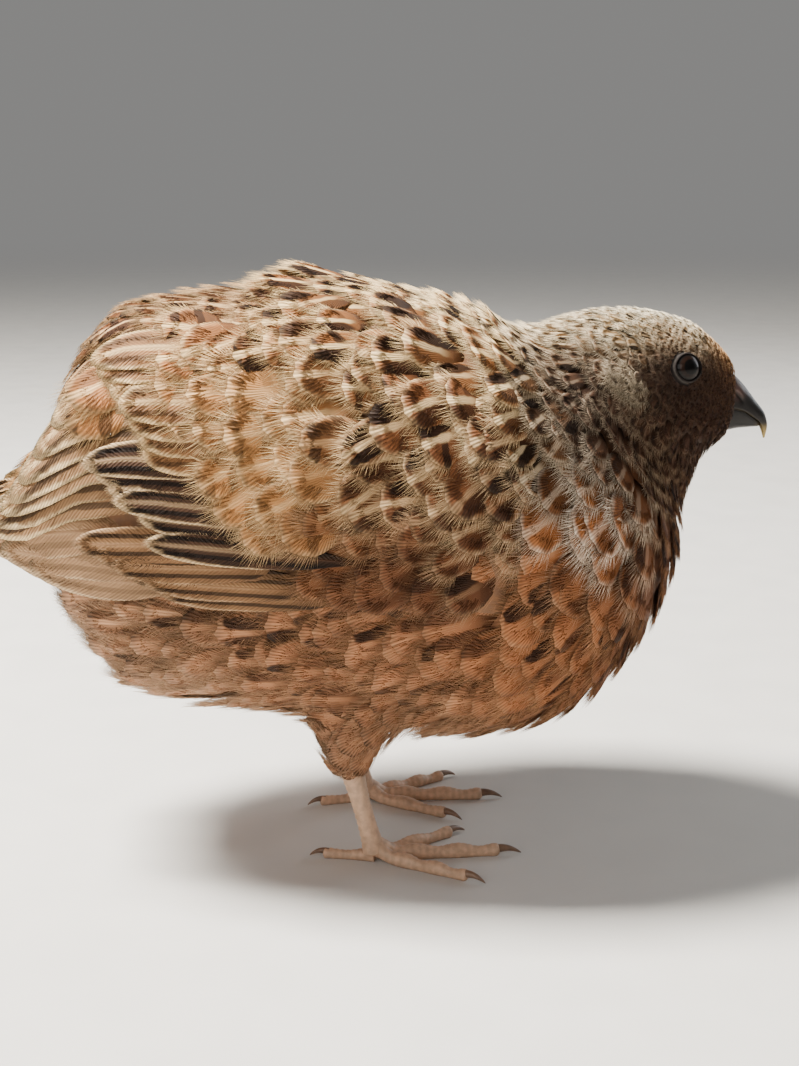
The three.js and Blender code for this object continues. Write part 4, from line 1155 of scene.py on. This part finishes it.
def eye_material():
    """Wet dark eye: a black pupil inside a brown iris, by the distance from the eye's own middle line."""
    material, g, shader = new_material("eye_gloss")
    iris_map = g.node("ShaderNodeUVMap", uv_map="iris")
    ring = g.node("ShaderNodeSeparateXYZ", inputs={0: iris_map})
    spokes = g.node("ShaderNodeTexNoise", inputs={"Vector": g.node("ShaderNodeTexCoord", out="Object"),
                                                  "Scale": 2200.0, "Detail": 3.0})
    iris = g.mix(spokes, (*tone(15, 9, 7), 1), (*tone(32, 19, 13), 1))
    edge = g.mix(g.ramp(ring, .6, .7), iris, (*tone(12, 9, 8), 1))
    g.put(shader.inputs["Base Color"], g.mix(g.ramp(ring, .42, .47), (*tone(5, 4, 4), 1), edge))
    shader.inputs["Roughness"].default_value = .4
    shader.inputs["Specular IOR Level"].default_value = .03
    shader.inputs["Coat Weight"].default_value = .22
    shader.inputs["Coat Roughness"].default_value = .02
    return material


EYE_GLOSS = eye_material()

# Section of the bare lids: distance from the eye's middle line, distance out from the eyeball's
# centre, how far the place follows the head's surface, and its height over that surface.
LID_SECTION = np.array([
    (2.66, 2.2, 0, 0), (2.72, 2.44, 0, 0), (2.86, 2.54, .1, .5), (3.05, 2.44, .5, .3), (3.25, 2.3, .9, .12),
    (3.5, 2.1, 1, .06), (3.9, 1.7, 1, -.3), (4.3, 1.2, 1, -.9), (4.4, .2, 1, -1.6), (4.0, -.2, 1, -2.0),
    (3.3, .8, .8, -1.6), (2.85, 1.7, .2, -1)], float)
LID_STEPS = 96


def lid_ring(side):
    """The bare lids: a closed ring swept round the eye's opening, dark with a pale line near its rim.

    The section's corners are cut twice at their quarters. At angle a the opening is drawn out
    towards its corners by a share of 0.1 cos^6 a, fine wrinkles run outwards, and the outer rim
    sinks into the head's surface.
    """
    ring = LID_SECTION
    for _ in range(2):
        after = np.roll(ring, -1, 0)
        ring = np.stack([.75 * ring + .25 * after, .25 * ring + .75 * after], 1).reshape(-1, 4)
    away, out, hold, height = ring.T[:, None]
    a = turns(LID_STEPS)[:, None]
    long = 1 + .1 * np.abs(np.cos(a)) ** 6 * np.exp(-((away - 2.6) / 1.2) ** 2)
    wrinkle = .07 * np.sin(a * 31 + 5 * np.sin(a * 3)) * np.clip((away - 3.1) / .6, 0, 1) * (out > .5)
    centre, axes = eye_place(side)
    grid = centre + np.stack([away * long * np.cos(a), out + 0 * a, away * long * np.sin(a)], -1) @ axes
    on_head = settle(BODY, grid, height + wrinkle, 3)
    pale = np.exp(-((away + 0 * a - 3.3) / .2) ** 2)[..., None] * (out > .5)[..., None]
    lid_colour = tone(26, 21, 20) * (1 - pale) + tone(62, 58, 55) * pale
    return grid + (on_head - grid) * hold[..., None], shaded(lid_colour)


def ring_faces(n, m, flip):
    """Faces of a grid of n by m points that closes on itself both ways."""
    i, j = [g.ravel() for g in np.meshgrid(np.arange(n), np.arange(m), indexing="ij")]
    i2, j2 = (i + 1) % n, (j + 1) % m
    quads = np.stack([i * m + j, i2 * m + j, i2 * m + j2, i * m + j2], -1)
    return quads[:, ::-1] if flip else quads


for side_name, side in SIDES.items():
    local, rings, count = ball(EYE["radius"])
    centre, axes = eye_place(side)
    away = np.hypot(local[:, 0], local[:, 2]) / EYE["radius"] + (local[:, 1] < 0)
    faces = [f if side > 0 else f[:, ::-1] for f in band(rings, count)]
    eyeball = piece(f"eyeball_{side_name}", centre + local @ axes, faces, EYE_GLOSS, "eye_dark",
                    uv={"iris": np.stack([away, 0 * away], -1)})
    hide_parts(f"eye_{side_name}")
    lids, lid_colour = lid_ring(side)
    piece(f"eyelids_{side_name}", lids.reshape(-1, 3), [ring_faces(*lids.shape[:2], side < 0)], LID_SKIN,
          "head_feathers", values={"coat_base": lid_colour})

# Bill: ridge x, z, edge x, z, half width at each station.
UPPER_BILL = np.array([
    (71.2, 105, 68, 94.2, 4.8), (72.8, 103.6, 69.5, 94, 4.4), (75.3, 101.6, 73, 94.7, 3.9),
    (77.4, 99.5, 76.4, 94.2, 3.3), (80.1, 96.1, 78.9, 92.9, 2.5), (82.3, 93.2, 80.9, 91.4, 1.6),
    (83.0, 90.5, 81.9, 89.4, .85), (82.6, 88.0, 82.3, 87.8, .25)], float)
LOWER_BILL = np.array([
    (67.5, 87.2, 67.5, 94.0, 4.1), (69.4, 88.2, 69.4, 94.4, 3.8), (73.4, 89.5, 73.2, 95.0, 3.35),
    (76.4, 90.1, 76.3, 94.5, 2.75), (79, 90.3, 78.8, 93.1, 1.95), (80.7, 90.4, 80.6, 91.8, 1.1),
    (81.5, 90.6, 81.4, 91.1, .45)], float)


def bill_half(lines, arch, bow):
    """Horn sheath: at each station an arch from one biting edge over the ridge to the other, closed
    by a palate that bows towards the ridge. Heights are sin^0.85 of the arch's angle, and
    bow (1 - y^2) on the palate."""
    line = glide(np.linspace(0, 1, len(lines)), lines, np.linspace(0, 1, 60))
    a = np.linspace(0, math.pi, arch)
    palate = np.linspace(-1, 1, 9)[1:-1]
    y = np.concatenate([np.cos(a), palate])
    up = np.concatenate([np.sin(a) ** .85, bow * (1 - palate ** 2)])
    ridge_x, ridge_z, edge_x, edge_z, half_width = line.T[..., None]
    x = edge_x * (1 - up) + ridge_x * up
    z = edge_z * (1 - up) + ridge_z * up
    grid = np.stack([x, half_width * y, z], -1)
    hubs = np.stack([grid[0].mean(0), grid[-1].mean(0)])
    return grid, hubs


def bill_mesh(name, lines, node, lower):
    """One half of the bill, dark horn with a paler tip and a fleshy root, the lower half darker by painted
    shade.

    The upper half has a nostril on each side: a swelling over a slit, both bell-shaped heights in
    the directions ahead and up along the bill. Painted shade darkens the slit.
    """
    grid, hubs = bill_half(lines, 43, .3)
    x, y, z = np.moveaxis(grid, -1, 0)
    if not lower:
        ahead, up = (x - 75.6) * .72 - (z - 98.2) * .69, (x - 75.6) * .69 + (z - 98.2) * .72
        swell = .5 * np.exp(-(ahead / 2.1) ** 2 - ((up - .55) / .95) ** 2)
        slit = .7 * np.exp(-((ahead - .3) / 1.5) ** 4 - ((up + .5 + .1 * ahead ** 2) / .3) ** 2)
        grid[..., 1] += np.sign(y) * (swell - slit) * np.clip(np.abs(y) / 1.2, 0, 1)
    points = np.concatenate([grid.reshape(-1, 3), hubs])
    x, y, z = points.T
    horn, tip_horn, flesh = tone(25, 22, 21), tone(186, 160, 100), tone(88, 68, 62)
    if lower:
        pale = np.clip((x - 79.5) / 4, 0, 1)[:, None] * .12
        fleshy = np.clip((74.5 - x) / 6, 0, 1)[:, None] * .2
        # Painted shade: the lower half's horn is darkened.
        horn = horn * .65
    else:
        edge_z = np.interp(x, [69, 76, 79, 81, 82.4], [94.2, 94.2, 92.9, 91.2, 88])
        pale = (np.clip((91.4 - z) / 3.2, 0, 1) + .06 * np.clip(1 - (z - edge_z) / .5, 0, 1))[:, None]
        fleshy = np.clip(1.25 - np.hypot((x - 74.6) / 3.0, (z - 99.2) / 2.8), 0, 1)[:, None]
        # Painted shade in the nostril slit: its horn and flesh are darkened.
        slit_painted_shade = np.append(slit, [0, 0])[:, None]
        horn = horn * (1 - .75 * slit_painted_shade)
        flesh = flesh * (1 - 1.2 * slit_painted_shade)
    colour = horn * (1 - np.clip(fleshy, 0, 1)) + flesh * np.clip(fleshy, 0, 1)
    colour = colour * (1 - np.clip(pale, 0, 1)) + tip_horn * np.clip(pale, 0, 1)
    faces = [f[:, ::-1] if lower else f for f in band(len(grid), grid.shape[1])]
    thing = piece(name, points, faces, HORN, "bill_horn", values={"coat_base": shaded(colour)})
    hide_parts(node)


bill_mesh("upper_bill_sheath", UPPER_BILL, "bill_upper", False)
bill_mesh("lower_bill_sheath", LOWER_BILL, "bill_lower", True)

# Legs and toes. Toe: turn from ahead, length, radius, claw's length, number of joints.
KNEE = np.array([-8.0, 16.0, 21.5])
FOOT = np.array([-3.0, 17.0, 2.2])
TOES = {"inner": (34, 21, 1.6, 4.2, 2), "middle": (2, 27, 1.75, 4.8, 3), "outer": (-32, 22, 1.6, 4.2, 3),
        "hind": (168, 11, 1.35, 3.2, 1)}
SHANK_SIDES, TOE_SIDES, CLAW_SIDES = 28, 20, 16


def sweep(line, radii, flat=None):
    """Tube along a line: rings square to it, with a hub at either end.

    Radii is rings by points, and nothing lies lower than flat. Returns the points, the number of
    rings and of points in each.
    """
    run = unit(np.gradient(line, axis=0))
    across = unit(np.stack([-run[:, 1], run[:, 0], 1e-9 + 0 * run[:, 0]], -1))
    across = np.where(np.abs(run[:, 2:3]) > .97, np.array([[0, 1.0, 0]]), across)
    up = np.cross(run, across)
    b = turns(radii.shape[1])[None, :, None]
    grid = line[:, None] + radii[..., None] * (across[:, None] * np.cos(b) + up[:, None] * np.sin(b))
    if flat is not None:
        grid[..., 2] = np.maximum(grid[..., 2], flat)
    hubs = np.stack([grid[0].mean(0), grid[-1].mean(0)])
    return np.concatenate([grid.reshape(-1, 3), hubs]), *radii.shape


def scute_steps(share, count, sharp=.22):
    """Saw of overlapping scutes: each rises gently along the limb and drops at its lower edge."""
    phase = (share * count) % 1
    return np.where(phase < 1 - sharp, phase / (1 - sharp), (1 - phase) / sharp)


def shank(side):
    """The bare shank, wider at both ends, with scutes down its front and net scales elsewhere."""
    t = np.linspace(0, 1, 90)[:, None]
    b = turns(SHANK_SIDES)
    line = KNEE + (FOOT - KNEE) * t
    body = 1.9 + .9 * (1 - t) ** 3 + .75 * t ** 5
    front = np.clip(np.cos(b - math.pi / 2 * 3), 0, 1) ** .5
    steps = scute_steps(t, 15) * .2
    net_scales = .07 * np.sin(t * 95) * np.sin(b * 9 + np.floor(t * 30) % 2)
    radii = body * (1 + .06 * np.cos(2 * b)) + steps * front + net_scales * (1 - front)
    return sweep(line * [1, side, 1], radii)


def toe_and_claw(side, toe, turn, length, radius, claw, joints):
    """A toe that tapers, swells at its joints and carries scutes on top, and its bent claw.

    A front toe's root rises to the shank by 1.5 exp(-(reach / 3.2)^2). The claw's radius falls as
    (1 - t)^0.7 and its line is a sine arch less a parabola.
    """
    angle = math.radians(-side * turn)
    run = np.array([math.cos(angle), math.sin(angle), 0])
    centre = np.array([FOOT[0], side * FOOT[1], 0])
    t = np.linspace(0, 1, 80)
    reach = t * (length + .2)
    size = radius * (1 - .28 * t + .11 * np.cos(t * math.pi * joints * 2))
    line = centre + run * reach[:, None]
    line[:, 2] = .86 * size + 1.5 * np.exp(-(reach / 3.2) ** 2) * (0 if toe == "hind" else 1)
    b = turns(TOE_SIDES)
    on_top = np.clip(np.sin(b), 0, 1) ** .5
    steps = scute_steps(t, int(length * .85))[:, None] * .13
    pads = .06 * np.sin(t[:, None] * length * 5) * np.sin(b * 7)
    swell = 1 + .12 * np.exp(-(t[:, None] * length / 3) ** 2)
    radii = size[:, None] * swell + steps * on_top + pads * (1 - on_top)
    radii[-4:] *= np.array([.98, .9, .72, .35])[:, None]
    whole_toe = sweep(line, radii, .03)
    t = np.linspace(0, 1, 26)
    line = centre + run * (length - .9 + t * (claw + .9))[:, None]
    line[:, 2] = 1.25 + .5 * np.sin(2.4 * t) - 1.3 * t * t
    size = radius * .56 * (1 - t) ** .7 + .05
    return whole_toe, sweep(line, size[:, None] * (1 + .14 * np.sin(turns(CLAW_SIDES))), .02)


def leg_piece(name, made, node, material, slot):
    """One swept part of a leg, a little darker towards the knee and with a soft change along x."""
    points, rings, count = made
    height = np.clip(points[:, 2:3] / 20, 0, 1)
    colour = tone(206, 168, 138) * (1 - .25 * height) * (1 - .12 * np.sin(points[:, :1] * 2.1) ** 2)
    thing = piece(name, points, band(rings, count), material, slot, values={"coat_base": shaded(colour)})
    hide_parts(node)


for side_name, side in SIDES.items():
    leg_piece(f"bird_shank_{side_name}", shank(side), f"leg_{side_name}", SCUTES, "leg_skin")
    for toe, numbers in TOES.items():
        whole_toe, claw = toe_and_claw(side, toe, *numbers)
        leg_piece(f"bird_toe_{toe}_{side_name}", whole_toe, f"toe_{side_name}_{toe}", SCUTES, "leg_skin")
        leg_piece(f"bird_claw_{toe}_{side_name}", claw, f"claw_{side_name}_{toe}", CLAW, "claw_horn")


# Floor, light and camera

def floor():
    """A round pale floor, which thins out into the backdrop with distance by a smooth step."""
    sides, radius = 96, 4
    a = turns(sides)
    j = np.arange(sides)
    points = np.append(np.stack([radius * np.cos(a), radius * np.sin(a), 0 * a], -1), [[0, 0, 0]], 0)
    wedges = np.stack([j, (j + 1) % sides, sides + 0 * j], -1)
    mesh = bpy.data.meshes.new("studio_floor")
    mesh.from_pydata(points.tolist(), [], wedges.tolist())
    thing = bpy.data.objects.new("studio_floor", mesh)
    bpy.context.scene.collection.objects.link(thing)
    material = surface_material("pale_floor", tone(214, 211, 206), rough=.9, grain=60.0, depth=.0002,
                                strength=.1, spread=.02)
    g = Graph(material.node_tree)
    away = g.node("ShaderNodeVectorMath", out=1, inputs={0: g.node("ShaderNodeTexCoord", out="Object")},
                  operation="LENGTH")
    g.put(material.node_tree.nodes["Principled BSDF"].inputs["Alpha"], g.ramp(away, .35, 2.6, 1.0, 0.0))
    mesh.materials.append(material)


floor()


def area_light(name, place, target, size, power, colour):
    """A square soft light at a place, aimed at a target."""
    light = bpy.data.lights.new(name, "AREA")
    light.size, light.energy, light.color = size, power, colour
    thing = bpy.data.objects.new(name, light)
    bpy.context.scene.collection.objects.link(thing)
    thing.location = place
    thing.rotation_euler = (Vector(target) - Vector(place)).to_track_quat("-Z", "Y").to_euler()


area_light("key", (-.44, .04, .82), (0, 0, .08), .22, 42, (1.0, .96, .89))
area_light("fill", (-.55, -.85, .5), (0, 0, .07), .6, 3.4, (1.0, .97, .94))
area_light("rim", (.7, .5, .35), (.03, 0, .08), .5, 3, (.95, .97, 1.0))
world = bpy.data.worlds.new("studio")
bpy.context.scene.world = world
world.use_nodes = True
world.node_tree.nodes["Background"].inputs[0].default_value = (*tone(214, 213, 211), 1)
world.node_tree.nodes["Background"].inputs[1].default_value = .36

AZIMUTH, ELEVATION, DISTANCE = math.radians(-4), math.radians(13), .36
LOOK = np.array([.0058, 0, .068])
camera = bpy.data.cameras.new("camera")
camera.sensor_fit = "VERTICAL"
camera.angle = math.radians(35.4)
camera.clip_start = .01
viewer = bpy.data.objects.new("camera", camera)
bpy.context.scene.collection.objects.link(viewer)
back = np.array([math.sin(AZIMUTH) * math.cos(ELEVATION), -math.cos(AZIMUTH) * math.cos(ELEVATION),
                 math.sin(ELEVATION)])
viewer.location = LOOK + back * DISTANCE
viewer.rotation_euler = (math.pi / 2 - ELEVATION, 0, AZIMUTH)
bpy.context.scene.camera = viewer

bpy.context.view_layer.update()
